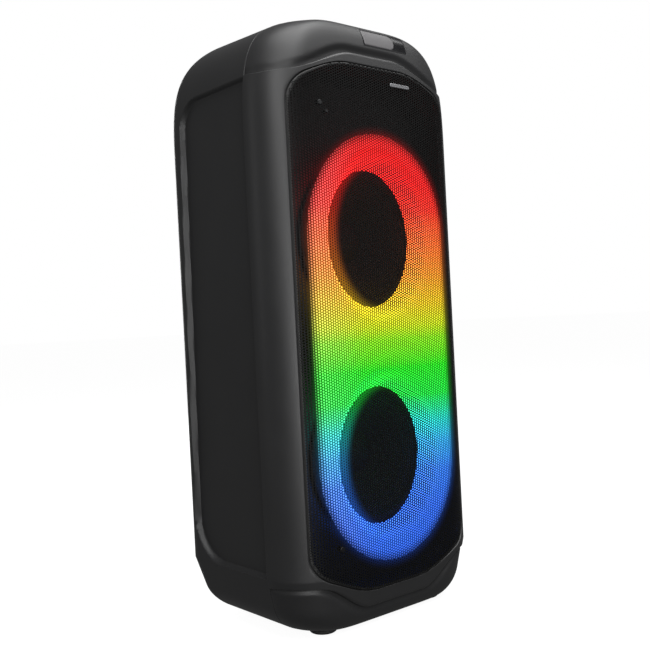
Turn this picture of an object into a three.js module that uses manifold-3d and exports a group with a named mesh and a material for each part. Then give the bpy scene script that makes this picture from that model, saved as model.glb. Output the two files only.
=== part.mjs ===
// Party speaker: a tall two-part moulded cabinet with a wrapped perforated grille, two woofers behind
// a dished light diffuser, a display window, a hand grip and controls on top, and sockets and a bass
// port at the back.
// Millimetres, +Z up. The front faces -Y; the origin is on the floor under the cabinet's middle.
import * as THREE from 'three';
import { mergeVertices } from 'three/addons/utils/BufferGeometryUtils.js';
import { RoundedBoxGeometry } from 'three/addons/geometries/RoundedBoxGeometry.js';
import Module from 'manifold-3d';

const wasm = await Module();
wasm.setup();

// Cabinet
const HALF_WIDTH = 132;
const FRONT_Y = -100;
const REAR_Y = 100;
const SEAM_Y = -50;
const BODY_BOTTOM_Z = 4.5;
const SHOULDER_Z = 475;
const FRONT_TOP_Z = 612;
const REAR_TOP_Z = 620;
const TOP_CENTRE_Y = -66;
const TOP_EXPONENT = 4.15;
const WALL = 4;
const GAP = 0.4;
const CAP_INSET = 2;
const REAR_CORNER_RADIUS = 27;
const COLUMN_WIDTH = 22;
const COLUMN_ELLIPSE = 60;
const BOW_DEPTH = 10;
const BOW_POWER = 8;
const BASE_Z = 61;
const BASE_TAPER = 15;
const BASE_ROUND = 25;
const BASE_FRONT_SHARE = 0.38;
const BASE_REAR_SHARE = 0.9;

// Front frame: heights of its upper edge (brow) and lower edge (chin)
const BROW_MIDDLE_Z = 578;
const BROW_SIDE_Z = 551;
const CHIN_MIDDLE_Z = 21;
const CHIN_SIDE_Z = 53;

// Grille
const GRILLE_HALF_WIDTH = 109.5;
const GRILLE_TOP_Z = 565;
const GRILLE_BOTTOM_Z = 39;
const GRILLE_SETBACK = 1;
const GRILLE_THICKNESS = 1.2;

// Side panels, sunk into the rear shell
const PANEL_SINK = 5;
const PANEL_TOP_Z = 550;
const PANEL_REAR_TOP_Y = 68;
const PANEL_REAR_BOTTOM_Y = 78;

// Light panel
const LIGHT_HALF_WIDTH = 94.5;
const LIGHT_HALF_HEIGHT = 217;
const LIGHT_END_HEIGHT = 105;
const LIGHT_SETBACK = 2.8;
const LIGHT_REAR_Y = -80.6;
const LIGHT_THICKNESS = 2.2;
const OPENING_HALF_WIDTH = 58;
const OPENING_HALF_HEIGHT = 71;
const DISH_FLARE = 20;
const LAMP_ROWS = 9;
const LAMP_PITCH = 25;
const LAMP_SIZE = 5;

// Woofers
const MIDDLE_Z = 280;
const WOOFER_OFFSET = 112;
const BAFFLE_FRONT_Y = -65;
const BAFFLE_THICKNESS = 5;
const BASKET_RADIUS = 83;
const BAFFLE_HOLE_RADIUS = 77;
const CONE_RADIUS = 61;
const COIL_RADIUS = 13.5;

// Hand grip: a trough in the top of the cap
const TROUGH_HALF_WIDTH = 88;
const TROUGH_FRONT_Y = -78;
const TROUGH_REAR_Y = -16;
const TROUGH_FLOOR_Z = 586;
const TROUGH_RADIUS = 26;

// Display window: a glossy inlay, flush with the front of the cap
const WINDOW_LEFT_X = -6;
const WINDOW_RIGHT_X = 53;
const WINDOW_BOTTOM_Z = 588.5;
const WINDOW_TOP_Z = 605.5;
const WINDOW_REAR_Y = -83.5;

// Controls on top
const DECK_HALF_WIDTH = 74;
const DECK_FRONT_Y = -4;
const DECK_REAR_Y = 48;
const DECK_Z = 609;
const DECK_PLATE = 2.4;
const KNOB_RADIUS = 16;
const BUTTON_X = [-62, -45, -28, 28, 45, 62];
const BUTTON_SIZE = [12, 18, 5];
const DECK_MIDDLE_Y = (DECK_FRONT_Y + DECK_REAR_Y) / 2;

// Back
const IO_HALF_WIDTH = 52;
const IO_BOTTOM_Z = 92;
const IO_TOP_Z = 192;
const IO_SINK = 7;
const IO_PLATE = 2.4;
const PORT_Z = 470;
const PORT_RADIUS = 26;
const PORT_FLARE_RADIUS = 38;
const PORT_LENGTH = 96;
const SCREW_X = 106;
const SCREW_Z = [110, 300, 490];
const WELL_RADIUS = 8;
const WELL_BORE = 5;

// Feet
const FOOT_RADIUS = 14;
const FOOT_X = 74;
const FOOT_FRONT_Y = -62;
const FOOT_REAR_Y = 46;

const materials = {
  shell: new THREE.MeshStandardMaterial({ color: 0x2b2b2d, roughness: 0.5, metalness: 0 }),
  grille: new THREE.MeshStandardMaterial({ color: 0x121213, roughness: 0.45, metalness: 0.6 }),
  badge: new THREE.MeshStandardMaterial({ color: 0xb8babd, roughness: 0.25, metalness: 1 }),
  diffuser: new THREE.MeshStandardMaterial({ color: 0xe8ecf0, roughness: 0.4, metalness: 0 }),
  board: new THREE.MeshStandardMaterial({ color: 0x1d5a35, roughness: 0.5, metalness: 0.1 }),
  steel: new THREE.MeshStandardMaterial({ color: 0x54565a, roughness: 0.4, metalness: 0.9 }),
  magnet: new THREE.MeshStandardMaterial({ color: 0x303236, roughness: 0.5, metalness: 0.8 }),
  cone: new THREE.MeshStandardMaterial({ color: 0x1a1a1b, roughness: 0.8, metalness: 0 }),
  rubber: new THREE.MeshStandardMaterial({ color: 0x111112, roughness: 0.85, metalness: 0 }),
  spider: new THREE.MeshStandardMaterial({ color: 0xa8843c, roughness: 0.9, metalness: 0 }),
  gloss: new THREE.MeshStandardMaterial({ color: 0x0d0d0e, roughness: 0.15, metalness: 0 }),
  metal: new THREE.MeshStandardMaterial({ color: 0xc2c4c6, roughness: 0.3, metalness: 1 }),
  battery: new THREE.MeshStandardMaterial({ color: 0x2d5f9a, roughness: 0.5, metalness: 0 }),
};

const speaker = new THREE.Group();

// Helpers -------------------------------------------------------------------------------------

function toSolid(geometry) {
  const bare = geometry.clone();
  bare.deleteAttribute('normal');
  bare.deleteAttribute('uv');
  const merged = mergeVertices(bare, 1e-4);
  const mesh = new wasm.Mesh({
    numProp: 3,
    vertProperties: Float32Array.from(merged.attributes.position.array),
    triVerts: Uint32Array.from(merged.index.array),
  });
  return new wasm.Manifold(mesh);
}

function addPiece(name, solid, material) {
  const { vertProperties, triVerts } = solid.getMesh();
  const geometry = new THREE.BufferGeometry();
  geometry.setAttribute('position', new THREE.BufferAttribute(vertProperties, 3));
  geometry.setIndex(new THREE.BufferAttribute(triVerts, 1));
  const flat = geometry.toNonIndexed();
  flat.computeVertexNormals();
  const mesh = new THREE.Mesh(flat, material);
  mesh.name = name;
  speaker.add(mesh);
}

// A block between two corners.
function block(x0, x1, y0, y1, z0, z1) {
  const geometry = new THREE.BoxGeometry(x1 - x0, y1 - y0, z1 - z0);
  return toSolid(geometry.translate((x0 + x1) / 2, (y0 + y1) / 2, (z0 + z1) / 2));
}

function roundedBlock(size, centre, radius, segments = 2) {
  const geometry = new RoundedBoxGeometry(size[0], size[1], size[2], segments, radius);
  return toSolid(geometry.translate(...centre));
}

// An outline drawn in X and Z, extruded from y0 to y1.
function extrudeY(shape, y0, y1, curveSegments = 12) {
  const options = { depth: y1 - y0, bevelEnabled: false, curveSegments };
  const geometry = new THREE.ExtrudeGeometry(shape, options);
  const x = new THREE.Vector3(1, 0, 0);
  const z = new THREE.Vector3(0, 0, 1);
  const back = new THREE.Vector3(0, -1, 0);
  geometry.applyMatrix4(new THREE.Matrix4().makeBasis(x, z, back));
  return toSolid(geometry.translate(0, y1, 0));
}

// An outline drawn in Y and Z, extruded from x0 to x1.
function extrudeX(shape, x0, x1, curveSegments = 12) {
  const options = { depth: x1 - x0, bevelEnabled: false, curveSegments };
  const geometry = new THREE.ExtrudeGeometry(shape, options);
  const x = new THREE.Vector3(1, 0, 0);
  const y = new THREE.Vector3(0, 1, 0);
  const z = new THREE.Vector3(0, 0, 1);
  geometry.applyMatrix4(new THREE.Matrix4().makeBasis(y, z, x));
  return toSolid(geometry.translate(x0, 0, 0));
}

// An outline drawn in X and Y, extruded from z0 to z1.
function extrudeZ(shape, z0, z1, curveSegments = 12) {
  const options = { depth: z1 - z0, bevelEnabled: false, curveSegments };
  return toSolid(new THREE.ExtrudeGeometry(shape, options).translate(0, 0, z0));
}

function roundedRectangle(x0, x1, y0, y1, radius) {
  const shape = new THREE.Shape();
  shape.moveTo(x0 + radius, y0);
  shape.lineTo(x1 - radius, y0);
  shape.absarc(x1 - radius, y0 + radius, radius, -Math.PI / 2, 0, false);
  shape.lineTo(x1, y1 - radius);
  shape.absarc(x1 - radius, y1 - radius, radius, 0, Math.PI / 2, false);
  shape.lineTo(x0 + radius, y1);
  shape.absarc(x0 + radius, y1 - radius, radius, Math.PI / 2, Math.PI, false);
  shape.lineTo(x0, y0 + radius);
  shape.absarc(x0 + radius, y0 + radius, radius, Math.PI, 1.5 * Math.PI, false);
  return shape;
}

// A closed profile of [radius, height] pairs turned about a vertical or a front-to-back axis.
function turned(profile, segments) {
  const points = profile.map(([radius, along]) => new THREE.Vector2(radius, along));
  const ordered = THREE.ShapeUtils.isClockWise(points) ? points.reverse() : points;
  ordered.push(ordered[0].clone());
  return new THREE.LatheGeometry(ordered, segments);
}

function turnedY(profile, x, z, segments = 32) {
  return toSolid(turned(profile, segments).translate(x, 0, z));
}

function turnedZ(profile, x, y, segments = 32) {
  return toSolid(turned(profile, segments).rotateX(Math.PI / 2).translate(x, y, 0));
}

// A plain rod from y0 to y1.
function rodY(radius, x, z, y0, y1, segments = 24) {
  return turnedY([[0, y0], [radius, y0], [radius, y1], [0, y1]], x, z, segments);
}

function rodZ(radius, x, y, z0, z1, segments = 24) {
  return turnedZ([[0, z0], [radius, z0], [radius, z1], [0, z1]], x, y, segments);
}

function smoothStep(value, from, to) {
  const t = THREE.MathUtils.clamp((value - from) / (to - from), 0, 1);
  return t * t * (3 - 2 * t);
}

// Cabinet surface -------------------------------------------------------------------------------

// Right half of the plan, from the middle of the front round to the middle of the back.
function halfPlan(halfWidth, frontY, rearY) {
  const points = [];
  const edgeX = halfWidth - COLUMN_WIDTH;
  const edgeY = frontY + BOW_DEPTH;
  for (let i = 0; i < 6; i += 1) {
    const x = edgeX * (1 - (1 - i / 6) ** 1.6);
    points.push(new THREE.Vector2(x, frontY + BOW_DEPTH * (x / edgeX) ** BOW_POWER));
  }
  const cosine = 1 - COLUMN_WIDTH / COLUMN_ELLIPSE;
  const depth = (SEAM_Y - edgeY) / Math.sqrt(1 - cosine * cosine);
  const startAngle = Math.acos(cosine);
  for (let i = 0; i <= 4; i += 1) {
    const angle = startAngle * (1 - i / 4);
    const x = halfWidth - COLUMN_ELLIPSE * (1 - Math.cos(angle));
    points.push(new THREE.Vector2(x, SEAM_Y - depth * Math.sin(angle)));
  }
  for (let i = 0; i <= 3; i += 1) {
    const angle = (Math.PI / 6) * i;
    const x = halfWidth - REAR_CORNER_RADIUS * (1 - Math.cos(angle));
    points.push(new THREE.Vector2(x, rearY - REAR_CORNER_RADIUS * (1 - Math.sin(angle))));
  }
  points.push(new THREE.Vector2(0, rearY));
  return points;
}

function planLoop(halfWidth, frontY, rearY) {
  const right = halfPlan(halfWidth, frontY, rearY);
  const left = right.slice(1).reverse().map((p) => new THREE.Vector2(-p.x, p.y));
  return [...left, ...right.slice(0, -1)];
}

// The cabinet's rings from the top pole to the bottom pole: how each plan point moves on each ring.
function cabinetRings(halfWidth, frontY, rearY, topInset, bottomZ) {
  const rings = [];
  const middleY = -10;
  const topSteps = [1, 0.8, 0.6, 0.42, 0.27, 0.14, 0.05];
  topSteps.forEach((step) => {
    const angle = (Math.PI / 2) * step;
    const spread = Math.cos(angle) ** (2 / TOP_EXPONENT);
    const rise = Math.sin(angle) ** (2 / TOP_EXPONENT);
    rings.push((p) => {
      const y = TOP_CENTRE_Y + (p.y - TOP_CENTRE_Y) * spread;
      const slope = THREE.MathUtils.clamp((y - TOP_CENTRE_Y) / (REAR_Y - TOP_CENTRE_Y), 0, 1);
      const top = FRONT_TOP_Z + (REAR_TOP_Z - FRONT_TOP_Z) * slope - topInset;
      return [p.x * spread, y, SHOULDER_Z + (top - SHOULDER_Z) * rise];
    });
  });
  const lower = (inset, z) => (p) => {
    const rear = p.y > middleY;
    const reach = rear ? rearY - middleY : middleY - frontY;
    const share = rear ? BASE_REAR_SHARE : BASE_FRONT_SHARE;
    const y = middleY + (p.y - middleY) * (1 - (inset * share) / reach);
    return [p.x * (1 - inset / halfWidth), y, z];
  };
  rings.push(lower(0, SHOULDER_Z), lower(0, BASE_Z));
  [1, 0.6, 0.3, 0].forEach((step) => {
    const angle = (Math.PI / 2) * (1 - step);
    const z = bottomZ + BASE_ROUND * (1 - Math.sin(angle));
    const taper = BASE_TAPER * (1 - (z - bottomZ) / (BASE_Z - bottomZ));
    rings.push(lower(taper + BASE_ROUND * (1 - Math.cos(angle)), z));
  });
  rings.push((p) => [p.x * 0, middleY, bottomZ]);
  return rings;
}

// A sphere whose rows and columns are moved onto the cabinet's rings and plan.
function cabinetSolid(halfWidth, frontY, rearY, topInset, bottomZ) {
  const plan = planLoop(halfWidth, frontY, rearY);
  const rings = cabinetRings(halfWidth, frontY, rearY, topInset, bottomZ);
  const columns = plan.length;
  const geometry = new THREE.SphereGeometry(1, columns, rings.length - 1);
  const position = geometry.attributes.position;
  for (let index = 0; index < position.count; index += 1) {
    const row = Math.floor(index / (columns + 1));
    const column = index % (columns + 1);
    position.setXYZ(index, ...rings[row](plan[column % columns]));
  }
  return toSolid(geometry);
}

// Depth of the front's bow at a distance x from the middle.
function bow(x) {
  return BOW_DEPTH * (Math.abs(x) / (HALF_WIDTH - COLUMN_WIDTH)) ** BOW_POWER;
}

// Everything in front of the bowed front, moved back by setback.
function beforeBow(setback) {
  const shape = new THREE.Shape();
  const reach = 124;
  const steps = 8;
  shape.moveTo(-reach, FRONT_Y - 40);
  shape.lineTo(reach, FRONT_Y - 40);
  for (let i = steps; i >= -steps; i -= 1) {
    const x = reach * Math.sign(i) * (1 - (1 - Math.abs(i) / steps) ** 1.5);
    shape.lineTo(x, FRONT_Y + setback + bow(x));
  }
  shape.closePath();
  return extrudeZ(shape, 0, REAR_TOP_Z);
}

// Front outlines --------------------------------------------------------------------------------

function browZ(x) {
  return BROW_MIDDLE_Z + (BROW_SIDE_Z - BROW_MIDDLE_Z) * smoothStep(Math.abs(x), 30, 115);
}

function chinZ(x) {
  return CHIN_MIDDLE_Z + (CHIN_SIDE_Z - CHIN_MIDDLE_Z) * smoothStep(Math.abs(x), 42, 106);
}

// The raised frame between the chin line and the brow line.
function frameOutline() {
  const reach = HALF_WIDTH + 10;
  const steps = 12;
  const shape = new THREE.Shape();
  shape.moveTo(-reach, chinZ(reach));
  for (let i = -steps; i <= steps; i += 1) {
    const x = (120 * i) / steps;
    shape.lineTo(x, chinZ(x));
  }
  shape.lineTo(reach, chinZ(reach));
  shape.lineTo(reach, browZ(reach));
  for (let i = steps; i >= -steps; i -= 1) {
    const x = (120 * i) / steps;
    shape.lineTo(x, browZ(x));
  }
  shape.lineTo(-reach, browZ(reach));
  shape.closePath();
  return shape;
}

// The grille's outline with its stepped shoulders, grown or shrunk on every side.
function grilleOutline(grow) {
  const w = GRILLE_HALF_WIDTH + grow;
  const top = GRILLE_TOP_Z + grow;
  const bottom = GRILLE_BOTTOM_Z - grow;
  const shape = new THREE.Shape();
  shape.moveTo(-26, bottom);
  shape.lineTo(26, bottom);
  shape.bezierCurveTo(50, bottom, 70, bottom + 11, w - 22, bottom + 18);
  shape.quadraticCurveTo(w, bottom + 27, w, bottom + 49);
  shape.lineTo(w, top - 48);
  shape.quadraticCurveTo(w, top - 24, w - 23, top - 14);
  shape.bezierCurveTo(70, top - 7, 52, top, 34, top);
  shape.lineTo(-34, top);
  shape.bezierCurveTo(-52, top, -70, top - 7, -w + 23, top - 14);
  shape.quadraticCurveTo(-w, top - 24, -w, top - 48);
  shape.lineTo(-w, bottom + 49);
  shape.quadraticCurveTo(-w, bottom + 27, -w + 22, bottom + 18);
  shape.bezierCurveTo(-70, bottom + 11, -50, bottom, -26, bottom);
  return shape;
}

// The light panel's outline: straight sides and half-ellipse ends.
function lightOutline(inset) {
  const halfWidth = LIGHT_HALF_WIDTH - inset;
  const endHeight = LIGHT_END_HEIGHT - inset;
  const straight = LIGHT_HALF_HEIGHT - LIGHT_END_HEIGHT;
  const shape = new THREE.Shape();
  shape.moveTo(halfWidth, MIDDLE_Z - straight);
  shape.lineTo(halfWidth, MIDDLE_Z + straight);
  shape.absellipse(0, MIDDLE_Z + straight, halfWidth, endHeight, 0, Math.PI, false);
  shape.lineTo(-halfWidth, MIDDLE_Z - straight);
  shape.absellipse(0, MIDDLE_Z - straight, halfWidth, endHeight, Math.PI, 2 * Math.PI, false);
  return shape;
}

// Shells ----------------------------------------------------------------------------------------

const wells = SCREW_Z.flatMap((z) => [[-SCREW_X, z], [SCREW_X, z]]);

function troughBlock(grow) {
  const outline = roundedRectangle(
    -TROUGH_HALF_WIDTH - grow, TROUGH_HALF_WIDTH + grow,
    TROUGH_FRONT_Y - grow, TROUGH_REAR_Y + grow, TROUGH_RADIUS + grow,
  );
  return extrudeZ(outline, TROUGH_FLOOR_Z - grow, REAR_TOP_Z + 20, 5);
}

function windowBlock(grow, y0, y1) {
  const outline = roundedRectangle(
    WINDOW_LEFT_X - grow, WINDOW_RIGHT_X + grow,
    WINDOW_BOTTOM_Z - grow, WINDOW_TOP_Z + grow, 1.6 + grow,
  );
  return extrudeY(outline, y0, y1, 2);
}

// The deck's pocket: the plate lies on a ledge above a deeper, smaller hollow.
function deckPocket() {
  const upper = block(
    -DECK_HALF_WIDTH - GAP, DECK_HALF_WIDTH + GAP, DECK_FRONT_Y - GAP, DECK_REAR_Y + GAP,
    DECK_Z - DECK_PLATE - GAP, REAR_TOP_Z + 20,
  );
  const lower = block(
    -DECK_HALF_WIDTH + 3, DECK_HALF_WIDTH - 3, DECK_FRONT_Y + 3, DECK_REAR_Y - 3,
    DECK_Z - 7, DECK_Z,
  );
  return upper.add(lower);
}

function ioPocket() {
  const plateFront = REAR_Y - IO_SINK - IO_PLATE;
  const outer = block(
    -IO_HALF_WIDTH - GAP, IO_HALF_WIDTH + GAP, plateFront - GAP, REAR_Y + 20,
    IO_BOTTOM_Z - GAP, IO_TOP_Z + GAP,
  );
  const inner = block(
    -IO_HALF_WIDTH + 4, IO_HALF_WIDTH - 4, plateFront - 20, REAR_Y, IO_BOTTOM_Z + 4, IO_TOP_Z - 4,
  );
  return outer.add(inner);
}

// The inside of both shells, less the walls round everything that is sunk into them.
function cabinetHollow() {
  const inside = cabinetSolid(
    HALF_WIDTH - 10, FRONT_Y + WALL + 2, REAR_Y - WALL, WALL, BODY_BOTTOM_Z + WALL,
  );
  const deckWall = block(
    -DECK_HALF_WIDTH - WALL, DECK_HALF_WIDTH + WALL, DECK_FRONT_Y - WALL, DECK_REAR_Y + WALL,
    DECK_Z - 10, REAR_TOP_Z,
  );
  const ioWall = block(
    -IO_HALF_WIDTH - WALL, IO_HALF_WIDTH + WALL, REAR_Y - IO_SINK - IO_PLATE - WALL, REAR_Y,
    IO_BOTTOM_Z - WALL, IO_TOP_Z + WALL,
  );
  const walls = [troughBlock(3.4), windowBlock(3.4, FRONT_Y - 10, TROUGH_FRONT_Y - 3), deckWall, ioWall];
  return walls.reduce((hollow, wall) => hollow.subtract(wall), inside);
}

function sidePanelPocket(side) {
  const shape = new THREE.Shape();
  shape.moveTo(SEAM_Y - 20, BASE_Z);
  shape.lineTo(PANEL_REAR_BOTTOM_Y - 45, BASE_Z);
  shape.quadraticCurveTo(PANEL_REAR_BOTTOM_Y - 2, BASE_Z + 6, PANEL_REAR_BOTTOM_Y, BASE_Z + 55);
  shape.lineTo(PANEL_REAR_TOP_Y, PANEL_TOP_Z - 30);
  shape.quadraticCurveTo(PANEL_REAR_TOP_Y, PANEL_TOP_Z - 2, PANEL_REAR_TOP_Y - 30, PANEL_TOP_Z);
  shape.lineTo(SEAM_Y - 20, PANEL_TOP_Z);
  shape.closePath();
  const face = HALF_WIDTH - CAP_INSET - PANEL_SINK;
  return side > 0 ? extrudeX(shape, face, face + 30, 5) : extrudeX(shape, -face - 30, -face, 5);
}

const capBody = cabinetSolid(HALF_WIDTH - CAP_INSET, FRONT_Y + CAP_INSET, REAR_Y, 0, BODY_BOTTOM_Z);
const hollow = cabinetHollow();
const openings = troughBlock(0).add(windowBlock(GAP, FRONT_Y - 20, WINDOW_REAR_Y + GAP));

function frontShell() {
  const fullBody = cabinetSolid(HALF_WIDTH, FRONT_Y, REAR_Y, 0, BODY_BOTTOM_Z);
  const frame = fullBody.intersect(extrudeY(frameOutline(), FRONT_Y - 20, SEAM_Y));
  const frontHalf = block(-200, 200, FRONT_Y - 20, SEAM_Y, 0, REAR_TOP_Z + 20);
  const tunnelWall = extrudeY(grilleOutline(3), FRONT_Y - 20, BAFFLE_FRONT_Y + BAFFLE_THICKNESS, 3);
  let shell = capBody.intersect(frontHalf).add(frame);
  let inside = hollow.subtract(tunnelWall);
  wells.forEach(([x, z]) => {
    inside = inside.subtract(rodY(7, x, z, BAFFLE_FRONT_Y, SEAM_Y + 4, 8));
  });
  shell = shell.subtract(inside).subtract(openings);
  const pocket = extrudeY(grilleOutline(GAP), FRONT_Y - 20, SEAM_Y, 4)
    .intersect(beforeBow(GRILLE_SETBACK + GRILLE_THICKNESS + GAP));
  const tunnel = extrudeY(grilleOutline(-4), FRONT_Y - 20, BAFFLE_FRONT_Y, 3);
  shell = shell.subtract(pocket).subtract(tunnel);
  [-1, 1].forEach((side) => {
    const z = MIDDLE_Z + side * WOOFER_OFFSET;
    shell = shell.subtract(rodY(BAFFLE_HOLE_RADIUS, 0, z, FRONT_Y, SEAM_Y, 24));
  });
  wells.forEach(([x, z]) => {
    shell = shell.subtract(rodY(1.9, x, z, SEAM_Y - 9, SEAM_Y + 10, 6));
  });
  return shell;
}

function rearShell() {
  const rearHalf = block(-200, 200, SEAM_Y + GAP, REAR_Y + 20, 0, REAR_TOP_Z + 20);
  let inside = hollow;
  wells.forEach(([x, z]) => {
    inside = inside.subtract(rodY(WELL_RADIUS, x, z, SEAM_Y - 5, REAR_Y, 8));
  });
  let shell = capBody.subtract(inside).subtract(openings).intersect(rearHalf);
  shell = shell.subtract(sidePanelPocket(1)).subtract(sidePanelPocket(-1));
  shell = shell.subtract(deckPocket()).subtract(ioPocket());
  shell = shell.subtract(rodY(PORT_RADIUS + 4, 0, PORT_Z, 0, REAR_Y + 10, 24));
  shell = shell.subtract(rodY(PORT_FLARE_RADIUS + GAP, 0, PORT_Z, REAR_Y - 2 - GAP, REAR_Y + 10, 24));
  wells.forEach(([x, z]) => {
    shell = shell.subtract(rodY(WELL_BORE, x, z, SEAM_Y + 8, REAR_Y + 10, 12));
    shell = shell.subtract(rodY(2.3, x, z, SEAM_Y - 5, SEAM_Y + 10, 6));
  });
  return shell;
}

addPiece('front_shell', frontShell(), materials.shell);
addPiece('rear_shell', rearShell(), materials.shell);

const displayWindow = capBody.intersect(windowBlock(0, FRONT_Y - 20, WINDOW_REAR_Y));
addPiece('display_window', displayWindow, materials.gloss);

wells.forEach(([x, z], index) => {
  const head = SEAM_Y + 8 + GAP;
  const tip = SEAM_Y - 8;
  const profile = [[0, head + 3], [4.2, head + 3], [4.2, head], [1.6, head], [1.6, tip], [0, tip]];
  addPiece(`rear_screw_${index + 1}`, turnedY(profile, x, z, 8), materials.steel);
});

// Grille, badge and indicators --------------------------------------------------------------------

const indicators = [
  { name: 'indicator_upper', x: -74, z: 521, radius: 2.8 },
  { name: 'indicator_middle', x: -66, z: 513, radius: 1.8 },
  { name: 'indicator_lower', x: -74, z: 87, radius: 2.8 },
];

function grille() {
  const front = GRILLE_SETBACK;
  let sheet = extrudeY(grilleOutline(0), FRONT_Y - 20, SEAM_Y, 4)
    .intersect(beforeBow(front + GRILLE_THICKNESS))
    .subtract(beforeBow(front));
  indicators.forEach(({ x, z, radius }) => {
    sheet = sheet.subtract(rodY(radius + GAP, x, z, FRONT_Y - 10, FRONT_Y + 10, 10));
  });
  return sheet;
}

addPiece('grille', grille(), materials.grille);

indicators.forEach(({ name, x, z, radius }) => {
  const front = FRONT_Y + GRILLE_SETBACK + bow(x) - 0.3;
  const stem = [[0, front], [radius, front], [radius, front + 6], [1.2, front + 6],
    [1.2, BAFFLE_FRONT_Y - GAP], [0, BAFFLE_FRONT_Y - GAP]];
  addPiece(name, turnedY(stem, x, z, 8), materials.gloss);
});

const badgeOutline = roundedRectangle(21, 51, 547, 553, 2.9);
addPiece('badge', extrudeY(badgeOutline, FRONT_Y + 0.05, FRONT_Y + 0.65, 4), materials.badge);

// Light panel -------------------------------------------------------------------------------------

const wooferHeights = [MIDDLE_Z - WOOFER_OFFSET, MIDDLE_Z + WOOFER_OFFSET];
const OPENING_SQUEEZE = OPENING_HALF_WIDTH / OPENING_HALF_HEIGHT;

// A turned solid squeezed across, to fit the oval openings.
function ovalY(profile, z, segments = 28) {
  return toSolid(turned(profile, segments).scale(OPENING_SQUEEZE, 1, 1).translate(0, 0, z));
}

const LIGHT_FRONT_Y = FRONT_Y + LIGHT_SETBACK;

// A bowed sheet behind the grille, with a flared dish down to each opening.
function lightPanel() {
  const back = LIGHT_FRONT_Y + LIGHT_THICKNESS;
  const rim = OPENING_HALF_HEIGHT + DISH_FLARE;
  let panel = extrudeY(lightOutline(0), FRONT_Y - 20, SEAM_Y, 12)
    .intersect(beforeBow(LIGHT_SETBACK + LIGHT_THICKNESS))
    .subtract(beforeBow(LIGHT_SETBACK));
  wooferHeights.forEach((z) => {
    panel = panel.subtract(ovalY([[0, -100], [rim + 2, -100], [rim + 2, -60], [0, -60]], z));
  });
  wooferHeights.forEach((z) => {
    const dish = [
      [rim, LIGHT_FRONT_Y], [rim + 4, LIGHT_FRONT_Y], [rim + 4, back], [rim + 2.5, back],
      [OPENING_HALF_HEIGHT + 3, LIGHT_REAR_Y], [OPENING_HALF_HEIGHT, LIGHT_REAR_Y],
    ];
    panel = panel.add(ovalY(dish, z));
  });
  return panel.subtract(beforeBow(LIGHT_SETBACK));
}

addPiece('light_panel', lightPanel(), materials.diffuser);

function ledBoard() {
  const front = LIGHT_FRONT_Y + LIGHT_THICKNESS + bow(LIGHT_HALF_WIDTH) + 0.8;
  const hole = OPENING_HALF_HEIGHT + DISH_FLARE + 1.6;
  let board = extrudeY(lightOutline(3), front, front + 1.6, 10);
  wooferHeights.forEach((z) => {
    board = board.subtract(ovalY([[0, -100], [hole, -100], [hole, -60], [0, -60]], z, 24));
  });
  const half = LAMP_SIZE / 2;
  for (let row = 0; row < LAMP_ROWS; row += 1) {
    [-1, 1].forEach((side) => {
      const x = side * (LIGHT_HALF_WIDTH - 10.5);
      const z = MIDDLE_Z + (row - (LAMP_ROWS - 1) / 2) * LAMP_PITCH;
      board = board.add(block(x - half, x + half, front - 1.2, front + 0.5, z - half, z + half));
    });
  }
  return board;
}

addPiece('led_board', ledBoard(), materials.board);

// Woofers -----------------------------------------------------------------------------------------

function basket(z) {
  const flange = BAFFLE_FRONT_Y - 0.3;
  const profile = [
    [70, flange - 3], [BASKET_RADIUS, flange - 3], [BASKET_RADIUS, flange], [75.5, flange], [73, -58],
    [49, -27], [49, -21], [32, -21], [32, -23.5], [46.4, -23.5], [46.4, -28], [70, -58.6],
  ];
  let frame = toSolid(turned(profile, 24));
  for (let i = 0; i < 6; i += 1) {
    const window = new THREE.BoxGeometry(27, 22, 44).translate(0, -44, 62).rotateY((Math.PI / 3) * i);
    frame = frame.subtract(toSolid(window));
  }
  return frame.translate(0, 0, z);
}

function magnet(z) {
  const profile = [
    [4, -20.7], [12, -20.7], [12, -8], [15.4, -8], [15.4, -20.7], [38, -20.7],
    [38, -16.5], [45, -16.5], [45, -4], [38, -4], [38, 0], [4, 0],
  ];
  return turnedY(profile, 0, z, 18);
}

function cone(z) {
  const profile = [[CONE_RADIUS, -67], [CONE_RADIUS, -66], [COIL_RADIUS + 0.9, -35.2],
    [COIL_RADIUS + 0.9, -12.5], [COIL_RADIUS - 0.4, -12.5], [COIL_RADIUS - 0.4, -36.9]];
  return turnedY(profile, 0, z, 24);
}

function dustCap(z) {
  const profile = [
    [0, -50.4], [9, -49.2], [16, -46], [21.2, -42.2],
    [20.4, -41.6], [15.4, -45.2], [8.6, -48.2], [0, -49.3],
  ];
  return turnedY(profile, 0, z, 16);
}

// A half-roll edge between the cone and the basket's flange.
function surround(z) {
  const rollRadius = 67.5;
  const base = -68.6;
  const profile = [[80, base - 0.7]];
  for (let i = 0; i <= 4; i += 1) {
    const angle = THREE.MathUtils.degToRad(8 + 41 * i);
    profile.push([rollRadius + 5.6 * Math.cos(angle), base - 5.6 * Math.sin(angle)]);
  }
  for (let i = 4; i >= 0; i -= 1) {
    const angle = (Math.PI / 4) * i;
    profile.push([rollRadius + 4.8 * Math.cos(angle), base - 4.8 * Math.sin(angle)]);
  }
  profile.push([80, base]);
  return turnedY(profile, 0, z, 24);
}

function spider(z) {
  return turnedY([[15.4, -26.6], [45.8, -26.6], [45.8, -25.9], [15.4, -25.9]], 0, z, 18);
}

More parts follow.
